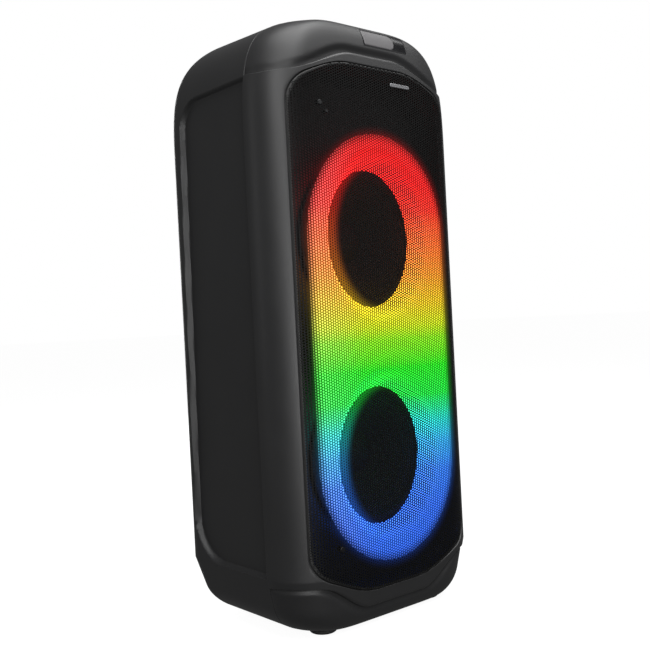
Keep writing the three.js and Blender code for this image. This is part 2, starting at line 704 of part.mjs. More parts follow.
['lower', 'upper'].forEach((position, index) => {
  const z = wooferHeights[index];
  addPiece(`${position}_basket`, basket(z), materials.steel);
  addPiece(`${position}_magnet`, magnet(z), materials.magnet);
  addPiece(`${position}_surround`, surround(z), materials.rubber);
  addPiece(`${position}_cone`, cone(z), materials.cone);
  addPiece(`${position}_dust_cap`, dustCap(z), materials.cone);
  addPiece(`${position}_spider`, spider(z), materials.spider);
});

// Controls on top ---------------------------------------------------------------------------------

function deckPlate() {
  const outline = roundedRectangle(-DECK_HALF_WIDTH, DECK_HALF_WIDTH, DECK_FRONT_Y, DECK_REAR_Y, 0.5);
  let plate = extrudeZ(outline, DECK_Z - DECK_PLATE, DECK_Z, 1);
  const [width, length] = BUTTON_SIZE;
  BUTTON_X.forEach((x) => {
    const hole = roundedRectangle(
      x - width / 2 - GAP, x + width / 2 + GAP, DECK_MIDDLE_Y - length / 2 - GAP,
      DECK_MIDDLE_Y + length / 2 + GAP, 2,
    );
    plate = plate.subtract(extrudeZ(hole, DECK_Z - 10, DECK_Z + 10, 1));
  });
  return plate.subtract(rodZ(3.6, 0, DECK_MIDDLE_Y, DECK_Z - 10, DECK_Z + 10, 10));
}

addPiece('control_plate', deckPlate(), materials.gloss);

const controlBoard = block(-68, 68, DECK_FRONT_Y + 5, DECK_REAR_Y - 5, DECK_Z - 6.7, DECK_Z - 5.1);
addPiece('control_board', controlBoard, materials.board);

const knobProfile = [
  [0, DECK_Z - 4.7], [3, DECK_Z - 4.7], [3, DECK_Z + 0.5], [KNOB_RADIUS, DECK_Z + 0.5],
  [KNOB_RADIUS, DECK_Z + 7], [KNOB_RADIUS - 1.5, DECK_Z + 9], [0, DECK_Z + 9],
];
addPiece('volume_knob', turnedZ(knobProfile, 0, DECK_MIDDLE_Y, 20), materials.shell);

BUTTON_X.forEach((x, index) => {
  const [width, length, height] = BUTTON_SIZE;
  const centre = [x, DECK_MIDDLE_Y, DECK_Z + 1.4 - height / 2];
  const cap = roundedBlock([width, length, height], centre, 1, 1);
  addPiece(`button_${index + 1}`, cap, materials.rubber);
});

// Back: sockets, switch and bass port ---------------------------------------------------------------

const IO_FACE_Y = REAR_Y - IO_SINK;
const jacks = [
  { name: 'mic_jack', x: -36, z: 172, body: 6.2, flange: 8.5, bore: 3.2, depth: 22 },
  { name: 'guitar_jack', x: -12, z: 172, body: 6.2, flange: 8.5, bore: 3.2, depth: 22 },
  { name: 'aux_jack', x: 12, z: 172, body: 3.6, flange: 5.2, bore: 1.8, depth: 15 },
];
const ioKnobs = [
  { name: 'mic_volume_knob', x: -36, z: 145 },
  { name: 'guitar_volume_knob', x: -12, z: 145 },
];
const usb = { x: 35, z: 172, width: 14.4, height: 6.6 };
const inlet = { x: -26, z: 112, width: 26, height: 17 };
const rocker = { x: 22, z: 112, width: 22, height: 15 };

function ioHole({ x, z, width, height }, grow) {
  return block(
    x - width / 2 - grow, x + width / 2 + grow, IO_FACE_Y - 20, IO_FACE_Y + 10,
    z - height / 2 - grow, z + height / 2 + grow,
  );
}

function ioPlate() {
  const back = IO_FACE_Y - IO_PLATE;
  let plate = block(-IO_HALF_WIDTH, IO_HALF_WIDTH, back, IO_FACE_Y, IO_BOTTOM_Z, IO_TOP_Z);
  jacks.forEach(({ x, z, body }) => {
    plate = plate.subtract(rodY(body + GAP, x, z, IO_FACE_Y - 10, IO_FACE_Y + 10, 12));
  });
  ioKnobs.forEach(({ x, z }) => {
    plate = plate.subtract(rodY(3.6, x, z, IO_FACE_Y - 10, IO_FACE_Y + 10, 8));
  });
  [usb, inlet, rocker].forEach((hole) => {
    plate = plate.subtract(ioHole(hole, GAP));
  });
  return plate;
}

addPiece('io_plate', ioPlate(), materials.gloss);

jacks.forEach(({ name, x, z, body, flange, bore, depth }) => {
  const face = IO_FACE_Y + 0.3;
  const end = face - depth;
  const profile = [
    [0, end], [body, end], [body, face], [flange, face],
    [flange, face + 2], [bore, face + 2], [bore, end + 3], [0, end + 3],
  ];
  addPiece(name, turnedY(profile, x, z, 12), materials.metal);
});

ioKnobs.forEach(({ name, x, z }) => {
  const face = IO_FACE_Y + 0.5;
  const end = face + 6;
  const profile = [[0, face - 10], [3, face - 10], [3, face], [7, face], [6.4, end], [0, end]];
  addPiece(name, turnedY(profile, x, z, 12), materials.shell);
});

function usbPort() {
  const { x, z, width, height } = usb;
  const y0 = IO_FACE_Y - 16;
  const y1 = IO_FACE_Y + 0.6;
  const shell = block(x - width / 2, x + width / 2, y0, y1, z - height / 2, z + height / 2);
  const mouth = block(x - width / 2 + 0.9, x + width / 2 - 0.9, y0 + 2, y1 + 2, z - height / 2 + 0.9,
    z + height / 2 - 0.9);
  const tongue = block(x - width / 2 + 2.2, x + width / 2 - 2.2, y0 + 1, y1 - 2, z + 0.2, z + 1.6);
  return shell.subtract(mouth).add(tongue);
}

addPiece('usb_port', usbPort(), materials.metal);

function inletSocket() {
  const { x, z, width, height } = inlet;
  const y0 = IO_FACE_Y - 22;
  const y1 = IO_FACE_Y + 1.5;
  const body = block(x - width / 2, x + width / 2, y0, y1, z - height / 2, z + height / 2);
  const mouth = roundedRectangle(x - 8.5, x + 8.5, z - 4.2, z + 4.2, 4.1);
  let socket = body.subtract(extrudeY(mouth, y0 + 5, y1 + 5, 3));
  [-4.3, 4.3].forEach((offset) => {
    socket = socket.add(rodY(1.2, x + offset, z, y0 + 4, y1 - 5, 6));
  });
  return socket;
}

addPiece('mains_inlet', inletSocket(), materials.rubber);

function switchFrame() {
  const { x, z, width, height } = rocker;
  const y0 = IO_FACE_Y - 18;
  const y1 = IO_FACE_Y + 1.5;
  const body = block(x - width / 2, x + width / 2, y0, y1, z - height / 2, z + height / 2);
  return body.subtract(block(x - 8, x + 8, y0 + 3, y1 + 5, z - 6.2, z + 6.2));
}

addPiece('switch_frame', switchFrame(), materials.rubber);

function switchRocker() {
  const pivot = IO_FACE_Y - 5;
  const shape = new THREE.Shape();
  shape.moveTo(pivot - 5, -2);
  shape.lineTo(pivot + 5.6, -5.2);
  shape.lineTo(pivot + 8.6, -4.8);
  shape.lineTo(pivot + 6.6, 0);
  shape.lineTo(pivot + 8.6, 4.8);
  shape.lineTo(pivot + 5.6, 5.2);
  shape.lineTo(pivot - 5, 2);
  shape.closePath();
  return extrudeX(shape, rocker.x - 7.5, rocker.x + 7.5).translate(0, 0, rocker.z);
}

addPiece('power_rocker', switchRocker(), materials.gloss);

function bassPort() {
  const inner = REAR_Y - PORT_LENGTH;
  const profile = [
    [PORT_FLARE_RADIUS, REAR_Y], [PORT_FLARE_RADIUS, REAR_Y - 2],
    [PORT_RADIUS + 3, REAR_Y - 2], [PORT_RADIUS + 3, inner], [PORT_RADIUS, inner],
    [PORT_RADIUS, REAR_Y - 14], [PORT_RADIUS + 1.4, REAR_Y - 7],
    [PORT_RADIUS + 5, REAR_Y - 2], [PORT_RADIUS + 10, REAR_Y],
  ];
  return turnedY(profile, 0, PORT_Z, 24);
}

addPiece('bass_port', bassPort(), materials.rubber);

// Inside --------------------------------------------------------------------------------------------

const batteryCentre = [0, 12, BODY_BOTTOM_Z + WALL + GAP + 28];
addPiece('battery_pack', roundedBlock([120, 60, 56], batteryCentre, 6, 1), materials.battery);

function amplifierBoard() {
  const board = block(-62, 62, 62, 63.6, 88, 204);
  const heatSink = block(-50, 50, 46, 62.5, 150, 176);
  const fins = [-40, -24, -8, 8, 24, 40].map((x) => block(x - 5.5, x + 5.5, 40, 56, 149, 177));
  const parts = [heatSink, rodY(8, -36, 118, 42, 62.5, 10), rodY(8, -14, 118, 42, 62.5, 10)];
  parts.push(block(10, 46, 44, 62.5, 104, 132));
  const solid = parts.reduce((sum, piece) => sum.add(piece), board);
  return fins.reduce((sum, fin) => sum.subtract(fin.translate(0, -6, 0)), solid);
}

addPiece('amplifier_board', amplifierBoard(), materials.board);

function powerSupply() {
  const box = block(-56, 56, 30, 86, 226, 262);
  const lip = block(-66, 66, 84, 86, 226, 262);
  return box.add(lip);
}

addPiece('power_supply', powerSupply(), materials.metal);

// Feet ----------------------------------------------------------------------------------------------

const feet = [
  ['foot_front_left', -FOOT_X, FOOT_FRONT_Y],
  ['foot_front_right', FOOT_X, FOOT_FRONT_Y],
  ['foot_rear_left', -FOOT_X, FOOT_REAR_Y],
  ['foot_rear_right', FOOT_X, FOOT_REAR_Y],
];
feet.forEach(([name, x, y]) => {
  const top = BODY_BOTTOM_Z - 0.3;
  const profile = [[0, 0], [FOOT_RADIUS - 1.5, 0], [FOOT_RADIUS, 1.5], [FOOT_RADIUS, top], [0, top]];
  addPiece(name, turnedZ(profile, x, y, 16), materials.rubber);
});

export default speaker;
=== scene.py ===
import math

import bmesh
import bpy
import numpy as np
from mathutils import Matrix, Vector


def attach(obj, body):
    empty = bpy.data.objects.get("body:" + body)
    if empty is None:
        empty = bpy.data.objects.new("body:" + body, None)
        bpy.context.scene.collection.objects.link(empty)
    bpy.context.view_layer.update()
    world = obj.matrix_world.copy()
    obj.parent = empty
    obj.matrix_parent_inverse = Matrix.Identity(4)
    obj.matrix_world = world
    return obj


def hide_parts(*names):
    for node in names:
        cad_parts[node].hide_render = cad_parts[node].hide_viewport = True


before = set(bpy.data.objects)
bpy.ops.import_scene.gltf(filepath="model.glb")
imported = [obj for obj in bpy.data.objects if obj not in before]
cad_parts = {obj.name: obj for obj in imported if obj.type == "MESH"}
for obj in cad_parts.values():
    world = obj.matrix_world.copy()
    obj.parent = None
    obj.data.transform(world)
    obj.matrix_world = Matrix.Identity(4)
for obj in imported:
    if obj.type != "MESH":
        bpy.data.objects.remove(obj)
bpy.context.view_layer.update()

# Sizes in millimetres; the mesh maker turns them into metres. The cabinet: half width, front and rear
# planes, parting line, and the same for the cap, which stands a little inside the front frame.
HALF, FRONT, REAR, SEAM = 132.0, -100.0, 100.0, -50.0
CAP_HALF, CAP_FRONT = 131.0, -98.7
# Heights of the underside, the top of the base's taper, and the shoulder where the crown begins.
BOTTOM, BASE, SHOULDER = 4.5, 61.0, 475.0
# The crown rises from front to rear and rounds over with the power n of (1 - s^n)^(1/n).
FRONT_TOP, REAR_TOP, CROWN_Y, CROWN_POWER = 612.0, 620.0, -66.0, 4.15
# The front bows back toward elliptical columns at its sides. Round corners close the back.
COLUMN, COLUMN_ELLIPSE, BOW, BOW_POWER = 22.0, 60.0, 10.0, 8
REAR_CORNER, BASE_TAPER, BASE_ROUND = 27.0, 15.0, 25.0
# The base draws the plan in toward this depth.
DRAW_Y = -10.0
# The grip trough: centre, half sizes, corner radius, floor height, rolled lip and fillet.
TROUGH_CENTRE_Y, TROUGH_X, TROUGH_Y, TROUGH_R, TROUGH_FLOOR = -47.0, 88.0, 31.0, 26.0, 586.0
LIP, TROUGH_FILLET = 4.0, 2.5
# The front frame: brow and chin heights in the middle, their change at the sides, and where it happens.
BROW, BROW_DROP, BROW_FROM, BROW_TO = 578, 27, 30, 115
CHIN, CHIN_RISE, CHIN_FROM, CHIN_TO = 21, 32, 42, 106
# The sunk side panel: top, rear edge and its slant, corner radii, border and depth plane.
PANEL_TOP, PANEL_REAR, PANEL_SLANT, PANEL_ROUND, PANEL_LOW_ROUND = 550, 78, 10, 30, 48
PANEL_BORDER, PANEL_PLANE = 3.2, 125
# Openings as (low, high) pairs: display window and socket plate in x and z, control deck in x and y.
WINDOW = (-7.5, 54.0, 587.6, 606.4)
DECK = (-74.4, 74.4, -4.4, 48.4)
IO = (-52.4, 52.4, 91.6, 192.4)
# The bass port's height and the hole left for it, and the screw wells, mirrored left to right.
PORT_Z, PORT_RADIUS = 470.0, 38.5
WELL_X, WELL_Z, WELL_DEPTH = 106.0, (110.0, 300.0, 490.0), 24
# The grille: outline, front plane, lattice pitch and the holes' share of it, and sheet thickness.
GRILLE_HALF, GRILLE_TOP, GRILLE_LOW, GRILLE_FRONT = 109.5, 565, 39, -98.9
PITCH_X, PITCH_Z, HOLE, SHEET = 2.9, 2.63, 0.63, 0.6
# The light panel: middle height, half width, end height, half the straight, and setback behind the
# grille, with a flared oval dish round each woofer.
MIDDLE, WOOFERS = 280.0, {"lower": 168.0, "upper": 392.0}
LIGHT_HALF, LIGHT_END, LIGHT_STRAIGHT, LIGHT_BACK = 94.5, 105.0, 112.0, 1.7
DISH_X, DISH_Z, DISH_FLARE, DISH_REAR, DISH_BULGE = 58.0, 71.0, 20.0, -80.6, 2.2
# The baffle behind the grille: its front face and the round holes for the woofers.
BAFFLE_FRONT, BAFFLE_HOLE = -65.0, 77
# The keys' centre line, half sizes and top, then the places of repeated parts: jacks as (x, collar radius,
# bore radius), feet as (x, y) and lenses as (x, z, radius).
KEY_Y, KEY_HALF_X, KEY_HALF_Y, KEY_TOP = 22, 6, 9, 610.4
KEY_X = (-62, -45, -28, 28, 45, 62)
JACKS = {"mic_jack": (-36, 8.5, 3.2), "guitar_jack": (-12, 8.5, 3.2), "aux_jack": (12, 5.2, 1.8)}
JACK_Z, TRIM_KNOB_Z = 172, 145
TRIM_KNOBS = {"mic_volume_knob": -36, "guitar_volume_knob": -12}
FEET = {"foot_front_left": (-74, -62), "foot_front_right": (74, -62), "foot_rear_left": (-74, 46),
        "foot_rear_right": (74, 46)}
LENSES = {"indicator_upper": (-74, 521, 2.8), "indicator_middle": (-66, 513, 1.8),
          "indicator_lower": (-74, 87, 2.8)}


# Mesh making -----------------------------------------------------------------------------------

def smooth(value, low, high):
    """0 up to low, 1 from high, and 3t^2 - 2t^3 between them."""
    t = np.clip((value - low) / (high - low), 0, 1)
    return t * t * (3 - 2 * t)


def grid(rows, columns, closed=False):
    """Corner numbers of the quads of a grid that is numbered row by row, as rows x columns x 4."""
    r, c = np.meshgrid(np.arange(rows - 1), np.arange(columns - (not closed)), indexing="ij")
    n = (c + 1) % columns
    return np.stack([r * columns + c, r * columns + n, (r + 1) * columns + n, (r + 1) * columns + c], -1)


def piece(name, points, faces, material, body="cabinet", nodes=(), slot=None, away=None, toward=None,
          weld=True, sharp=40):
    """A mesh from points in millimetres. Its faces are turned to point away from a point, or toward a
    direction, by the sign of the sum of normal times that direction."""
    points = np.asarray(points, float).reshape(-1, 3)
    faces = [np.asarray(f).reshape(-1, np.shape(f)[-1]) for f in faces]
    score = 0.0
    for f in faces:
        a, b, c = points[f[:, 0]], points[f[:, 1]], points[f[:, 2]]
        d = points[f[:, -1]]
        normal = np.cross(c - a, d - b) if f.shape[1] == 4 else np.cross(b - a, c - a)
        if away is not None:
            score += ((points[f].mean(1) - np.asarray(away)) * normal).sum()
        else:
            score += (normal * np.asarray(toward)).sum()
    if score < 0:
        faces = [f[:, ::-1] for f in faces]
    mesh = bpy.data.meshes.new(name)
    mesh.from_pydata((points * 0.001).tolist(), [], [row for f in faces for row in f.tolist()])
    if weld:
        bm = bmesh.new()
        bm.from_mesh(mesh)
        bmesh.ops.remove_doubles(bm, verts=bm.verts, dist=2e-6)
        bmesh.ops.dissolve_degenerate(bm, edges=bm.edges, dist=1e-7)
        bm.to_mesh(mesh)
        bm.free()
    mesh.shade_smooth()
    mesh.set_sharp_from_angle(angle=math.radians(sharp))
    mesh.materials.append(material)
    made = bpy.data.objects.new(name, mesh)
    bpy.context.scene.collection.objects.link(made)
    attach(made, body)
    if nodes:
        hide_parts(*nodes)
    return made


def sheet_piece(name, points, material, closed=False, keep=None, **more):
    """One grid of points (rows, columns, 3) as a mesh, less the faces that keep leaves out."""
    faces = grid(points.shape[0], points.shape[1], closed)
    faces = faces[keep] if keep is not None else faces.reshape(-1, 4)
    return piece(name, points, [faces], material, **more)


def rounded(profile, radius, steps=4):
    """An open line of corners with each inner corner replaced by a short curve: a quadratic blend
    between the points at distance radius, or 45% of the shorter side, on each side of the corner."""
    line = [np.asarray(p, float) for p in profile]
    out = [line[0]]
    for before, corner, after in zip(line, line[1:], line[2:]):
        a, b = before - corner, after - corner
        la, lb = np.linalg.norm(a), np.linalg.norm(b)
        cut = min(radius, 0.45 * la, 0.45 * lb)
        p, q = corner + a / la * cut, corner + b / lb * cut
        t = np.linspace(0, 1, steps + 1)[:, None]
        out.extend((1 - t) ** 2 * p + 2 * t * (1 - t) * corner + t * t * q)
    out.append(line[-1])
    return np.array(out)


def turned(profile, centre, axis="y", segments=96, flute=None):
    """A profile of (radius, along) carried round an axis: point = centre + radius (cos, sin) across it.
    flute = (count, depth, first, last) makes the radius wave between those heights."""
    profile = np.asarray(profile, float)
    angle = np.linspace(0, 2 * math.pi, segments, endpoint=False)
    radius = np.repeat(profile[:, :1], segments, 1)
    if flute:
        count, depth, first, last = flute
        on = ((profile[:, 1] >= first) & (profile[:, 1] <= last))[:, None]
        radius = radius - on * depth * (0.5 - 0.5 * np.cos(count * angle)) ** 2
    a, b = radius * np.cos(angle), radius * np.sin(angle)
    along = np.repeat(profile[:, 1:], segments, 1)
    parts = (a, along, b) if axis == "y" else (a, b, along)
    return np.stack(parts, -1) + np.asarray(centre, float)


def turned_piece(name, profile, centre, material, axis="y", segments=96, flute=None, **more):
    """A turned profile as a mesh that faces away from its own middle, unless told otherwise."""
    points = turned(profile, centre, axis, segments, flute)
    if "away" not in more and "toward" not in more:
        along = 1 if axis == "y" else 2
        middle = np.array(centre, float)
        middle[along] += np.mean([p[1] for p in profile])
        more["away"] = middle
    return sheet_piece(name, points, material, closed=True, **more)


def box_loop(box, radius, grow=0.0, per_corner=12, per_side=24):
    """A rounded rectangle's outline, grown by grow: straight sides with quarter circles at the corners.
    The radius is one number, or a pair for the corners at the low and the high end of x."""
    x0, x1, z0, z1 = box
    r0, r1 = radius if isinstance(radius, tuple) else (radius, radius)
    corners = [(x1 - r1, z0 + r1, -90, r1), (x1 - r1, z1 - r1, 0, r1),
               (x0 + r0, z1 - r0, 90, r0), (x0 + r0, z0 + r0, 180, r0)]
    loop = []
    for cx, cz, start, r in corners:
        a = np.radians(start + np.linspace(0, 90, per_corner))
        loop.append(np.stack([cx + (r + grow) * np.cos(a), cz + (r + grow) * np.sin(a)], -1))
    joined = []
    for i, arc in enumerate(loop):
        joined.append(arc)
        following = loop[(i + 1) % 4][0]
        t = np.linspace(0, 1, per_side + 1)[1:-1, None]
        joined.append(arc[-1] + (following - arc[-1]) * t)
    return np.concatenate(joined)


# Cabinet surface -------------------------------------------------------------------------------

def plan(p, half, front):
    """The cabinet's plan. |p| runs 0-1 along the bowed front, 1-2 round the column, 2-3 along the side,
    3-4 round the rear corner and 4-5 along the back to its middle; p is negative on the left."""
    q = np.abs(p)
    edge_x, edge_y = half - COLUMN, front + BOW
    cosine = 1 - COLUMN / COLUMN_ELLIPSE
    depth = (SEAM - edge_y) / math.sqrt(1 - cosine ** 2)
    turn = math.acos(cosine) * (2 - q)
    corner = (q - 3) * math.pi / 2
    parts = [q <= 1, q <= 2, q <= 3, q <= 4]
    x = np.select(parts, [edge_x * q, half - COLUMN_ELLIPSE * (1 - np.cos(turn)), half + 0 * q,
                          half - REAR_CORNER * (1 - np.cos(corner))], (half - REAR_CORNER) * (5 - q))
    y = np.select(parts, [front + BOW * np.minimum(q, 1) ** BOW_POWER, SEAM - depth * np.sin(turn),
                          SEAM + (REAR - REAR_CORNER - SEAM) * (q - 2),
                          REAR - REAR_CORNER * (1 - np.sin(corner))], REAR + 0 * q)
    return np.where(p < 0, -1.0, 1.0) * x, y


def roof(y):
    """Height of the cabinet's crown over a plan depth y."""
    return FRONT_TOP + (REAR_TOP - FRONT_TOP) * np.clip((y - CROWN_Y) / (REAR - CROWN_Y), 0, 1)


def narrowing(z, y):
    """How far the crown has drawn in at height z: (1 - rise^n)^(1/n), with rise from shoulder to roof."""
    rise = np.clip((z - SHOULDER) / (roof(y) - SHOULDER), 0, 0.99999)
    return (1 - rise ** CROWN_POWER) ** (1 / CROWN_POWER)


def base_inset(z):
    """How far the base has drawn in at height z: a straight taper and a quarter-circle curl."""
    low = np.clip(z, BOTTOM, BASE)
    level = np.clip((low - BOTTOM) / BASE_ROUND, 0, 1)
    curl = BASE_ROUND * (1 - np.sqrt(np.clip(1 - (1 - level) ** 2, 0, 1)))
    return BASE_TAPER * (1 - (low - BOTTOM) / (BASE - BOTTOM)) + curl


def body(p, z, half=CAP_HALF, front=CAP_FRONT):
    """The cabinet's surface at plan position p and height z: the plan drawn in by base and crown."""
    p, z = np.broadcast_arrays(np.asarray(p, float), np.asarray(z, float))
    x, y = plan(p, half, front)
    inset = base_inset(z)
    rear = y > DRAW_Y
    share = np.where(rear, 0.9, 0.38)
    reach = np.where(rear, REAR - DRAW_Y, DRAW_Y - front)
    x, y = x * (1 - inset / half), DRAW_Y + (y - DRAW_Y) * (1 - inset * share / reach)
    high = y
    for _ in range(4):
        high = CROWN_Y + (y - CROWN_Y) * narrowing(z, high)
    return np.stack([x * narrowing(z, high), high, z], -1)


def crown(x, y, half=CAP_HALF, front=CAP_FRONT):
    """Height of the crown over the point (x, y): the distance from the crown's middle, as a share of the
    plan's own radius that way, goes through (1 - s^n)^(1/n)."""
    px, py = plan(np.linspace(-5, 5, 3001), half, front)
    angle = np.arctan2(py - CROWN_Y, px)
    order = np.argsort(angle)
    here = np.arctan2(y - CROWN_Y, x)
    radius = np.interp(here, angle[order], np.hypot(px, py - CROWN_Y)[order], period=2 * math.pi)
    share = np.clip(np.hypot(x, y - CROWN_Y) / radius, 0, 1)
    return SHOULDER + (roof(y) - SHOULDER) * (1 - share ** CROWN_POWER) ** (1 / CROWN_POWER)


def front_y(x, z, half=CAP_HALF, front=CAP_FRONT):
    """Depth of the front surface at (x, z)."""
    s = narrowing(z, CROWN_Y) * (1 - base_inset(z) / half)
    return body(np.clip(x / s / (half - COLUMN), -1, 1), z, half, front)[..., 1]


def trough_edge(p, grow):
    """The grip trough's rounded outline, grown by grow, matched to the plan position p: its front half to
    |p| 0-2, its rear half to |p| 2-5."""
    q = np.abs(p)
    r = TROUGH_R + grow
    flat = TROUGH_X - TROUGH_R
    arc = r * math.pi / 2
    front_side = SEAM - (TROUGH_CENTRE_Y - TROUGH_Y + TROUGH_R)
    rear_side = (TROUGH_CENTRE_Y + TROUGH_Y - TROUGH_R) - SEAM
    front_length, rear_length = flat + arc + front_side, rear_side + arc + flat
    run = np.where(q <= 2, q / 2 * front_length, (5 - q) / 3 * rear_length)
    turn = np.clip((run - flat) / r, 0, math.pi / 2)
    x = np.minimum(run, flat) + r * np.sin(turn)
    beyond = np.maximum(run - flat - arc, 0)
    lift = TROUGH_Y + grow - r * (1 - np.cos(turn)) - beyond
    y = np.where(q <= 2, TROUGH_CENTRE_Y - lift, TROUGH_CENTRE_Y + lift)
    return np.where(p < 0, -1.0, 1.0) * x, y


def shell_grid(p, heights):
    """The shell from its lowest row to the bottom of the grip trough. Rows: the given heights, then the
    crown between the last of them and the trough's lip, the lip, the trough's wall, fillet and floor."""
    rows = [body(p, z) for z in heights]
    rim, (ex, ey) = rows[-1], trough_edge(p, LIP)
    for t in np.linspace(0, 1, 53)[1:]:
        x, y = rim[:, 0] + (ex - rim[:, 0]) * t, rim[:, 1] + (ey - rim[:, 1]) * t
        rows.append(np.stack([x, y, crown(x, y)], -1))
    lip_z = rows[-1][:, 2]
    for a in np.radians(np.linspace(0, 90, 7)[1:]):
        x, y = trough_edge(p, LIP * (1 - math.sin(a)))
        rows.append(np.stack([x, y, lip_z - LIP * (1 - math.cos(a))], -1))
    wall_x, wall_y = trough_edge(p, 0)
    for t in np.linspace(0, 1, 21)[1:]:
        z = (lip_z - LIP) + (TROUGH_FLOOR + TROUGH_FILLET - lip_z + LIP) * t
        rows.append(np.stack([wall_x, wall_y, z], -1))
    for a in np.radians(np.linspace(0, 90, 6)[1:]):
        x, y = trough_edge(p, -TROUGH_FILLET * (1 - math.cos(a)))
        rows.append(np.stack([x, y, TROUGH_FLOOR + TROUGH_FILLET * (1 - math.sin(a)) + 0 * x], -1))
    edge = rows[-1]
    for t in (0.8, 0.5, 0.2, 0.0):
        x, y = edge[:, 0] * t, TROUGH_CENTRE_Y + (edge[:, 1] - TROUGH_CENTRE_Y) * t
        rows.append(np.stack([x, y, edge[:, 2]], -1))
    return np.array(rows)


def surface_normals(points):
    """Unit normals of a grid of points, from the cross product of its row and column differences,
    pointing away from the cabinet's middle."""
    along, across = np.gradient(points, axis=0), np.gradient(points, axis=1)
    normal = np.cross(across, along)
    size = np.linalg.norm(normal, axis=-1, keepdims=True)
    normal = np.where(size > 1e-6, normal / np.maximum(size, 1e-6), 0)
    middle = np.array([0, 0, 300.0])
    sign = np.sign(((points - middle) * normal).sum(-1, keepdims=True))
    return normal * sign


def seam_depth(distance):
    """Depth of the parting line's rolled edge at a distance from it: a quarter circle of radius r, which
    is r - sqrt(r^2 - (r - distance)^2), and a deeper drop at the edge itself."""
    r = EDGE_ROUND
    roll = r - np.sqrt(np.clip(r * r - (r - np.minimum(distance, r)) ** 2, 0, 1))
    return np.where(distance < 0.05, EDGE_DROP, roll)


EDGE_ROUND, EDGE_DROP = 0.9, 3.2
EDGE_STEPS = np.array([0.0, 0.0501, 0.15, 0.35, 0.6, EDGE_ROUND, 1.6, 3.0])
FRONT_SIDE, REAR_SIDE = 45.0, REAR - REAR_CORNER - SEAM  # length of the plan per step of p, near the seam


def side_panel_share(y, z):
    """1 inside the sunk side panel and 0 outside it, easing over its sloped border. The panel is a tall
    shape with a slanting rear edge, rounded rear corners and an open front edge."""
    rear_edge = PANEL_REAR - PANEL_SLANT * (z - BASE) / (PANEL_TOP - BASE)
    a, b, c = rear_edge - y, PANEL_TOP - z, z - BASE
    r, low_r = PANEL_ROUND, PANEL_LOW_ROUND
    top = r - np.hypot(np.maximum(r - a, 0), np.maximum(r - b, 0))
    low = low_r - np.hypot(np.maximum(low_r - a, 0), np.maximum(low_r - c, 0))
    return smooth(np.minimum(top, low), 0.0, PANEL_BORDER)


def seam_near(points, p, side_length):
    """Points drawn in along their normals by the parting line's rolled edge."""
    distance = np.abs(np.abs(p) - 2) * side_length
    return points - surface_normals(points) * seam_depth(distance)[None, :, None]


def bottom_rows(p):
    """Rows of the flat underside, from its middle to where the curl begins."""
    edge = body(p, BOTTOM + 0 * p)
    middle = np.array([0, DRAW_Y, BOTTOM])
    return [middle + (edge - middle) * t for t in (0.0, 0.35, 0.7)]


def stack_heights(*runs):
    """Heights from (first, last, step) runs, joined without repeats."""
    parts = [np.arange(a, b, step) for a, b, step in runs]
    return np.unique(np.round(np.concatenate([*parts, [runs[-1][1]]]), 3))


CURL_HEIGHTS = BOTTOM + BASE_ROUND * (1 - np.sin(np.radians(np.linspace(90, 0, 13))))


def within(a, b, box, grow):
    """Whether (a, b) lies in a rectangle given as (low a, high a, low b, high b), grown by grow."""
    return (a > box[0] - grow) & (a < box[1] + grow) & (b > box[2] - grow) & (b < box[3] + grow)


def outside_grille(points):
    """Which faces of a grid lie clear of the opening behind the grille."""
    centre = points.reshape(-1, 3)[grid(*points.shape[:2])].mean(2)
    flat = centre.reshape(-1, 3)
    return ~inside_outline(flat[:, 0], flat[:, 2], -2.5).reshape(centre.shape[:2])


def front_plan(front_count, column_count):
    """Plan positions of the front half, from parting line to parting line, closest at its edges."""
    q = np.concatenate([np.linspace(0, 1, front_count), np.linspace(1, 1.9, column_count)[1:],
                        2 - EDGE_STEPS[::-1] / FRONT_SIDE])
    return np.concatenate([-q[:0:-1], q])


def front_cap(material):
    """The cap above the brow: the shell's front half from below the brow to the trough, drawn in along the
    brow for the shadow groove, and open behind the grille."""
    p = front_plan(64, 30)
    points = shell_grid(p, stack_heights((528, 565, 1.6)))
    above = points[..., 2] - brow(points[..., 0])
    fade = 1 - 0.6 * smooth(np.abs(points[..., 0]), 70, 112)
    groove = 3.6 * (1 - smooth(above, 0.5, 8.5)) * fade
    points = seam_near(points, p, FRONT_SIDE) - surface_normals(points) * groove[..., None]
    return sheet_piece("front_cap", points, material, keep=outside_grille(points), away=(0, -20, 500),
                       slot="shell")


def front_base(material):
    """The base below the chin: the shell's front half from under the chin to the underside's middle."""
    p = front_plan(48, 26)
    heights = np.unique(np.concatenate([CURL_HEIGHTS, np.linspace(32, 68, 26)]))
    points = np.array([*bottom_rows(p), *[body(p, z) for z in heights]])
    below = chin(points[..., 0]) - points[..., 2]
    groove = 2.0 * (1 - smooth(below, 0.5, 5.0)) * (points[..., 2] > 12)
    points = seam_near(points, p, FRONT_SIDE) - surface_normals(points) * groove[..., None]
    return sheet_piece("front_base", points, material, keep=outside_grille(points), away=(0, -20, 60),
                       slot="shell")


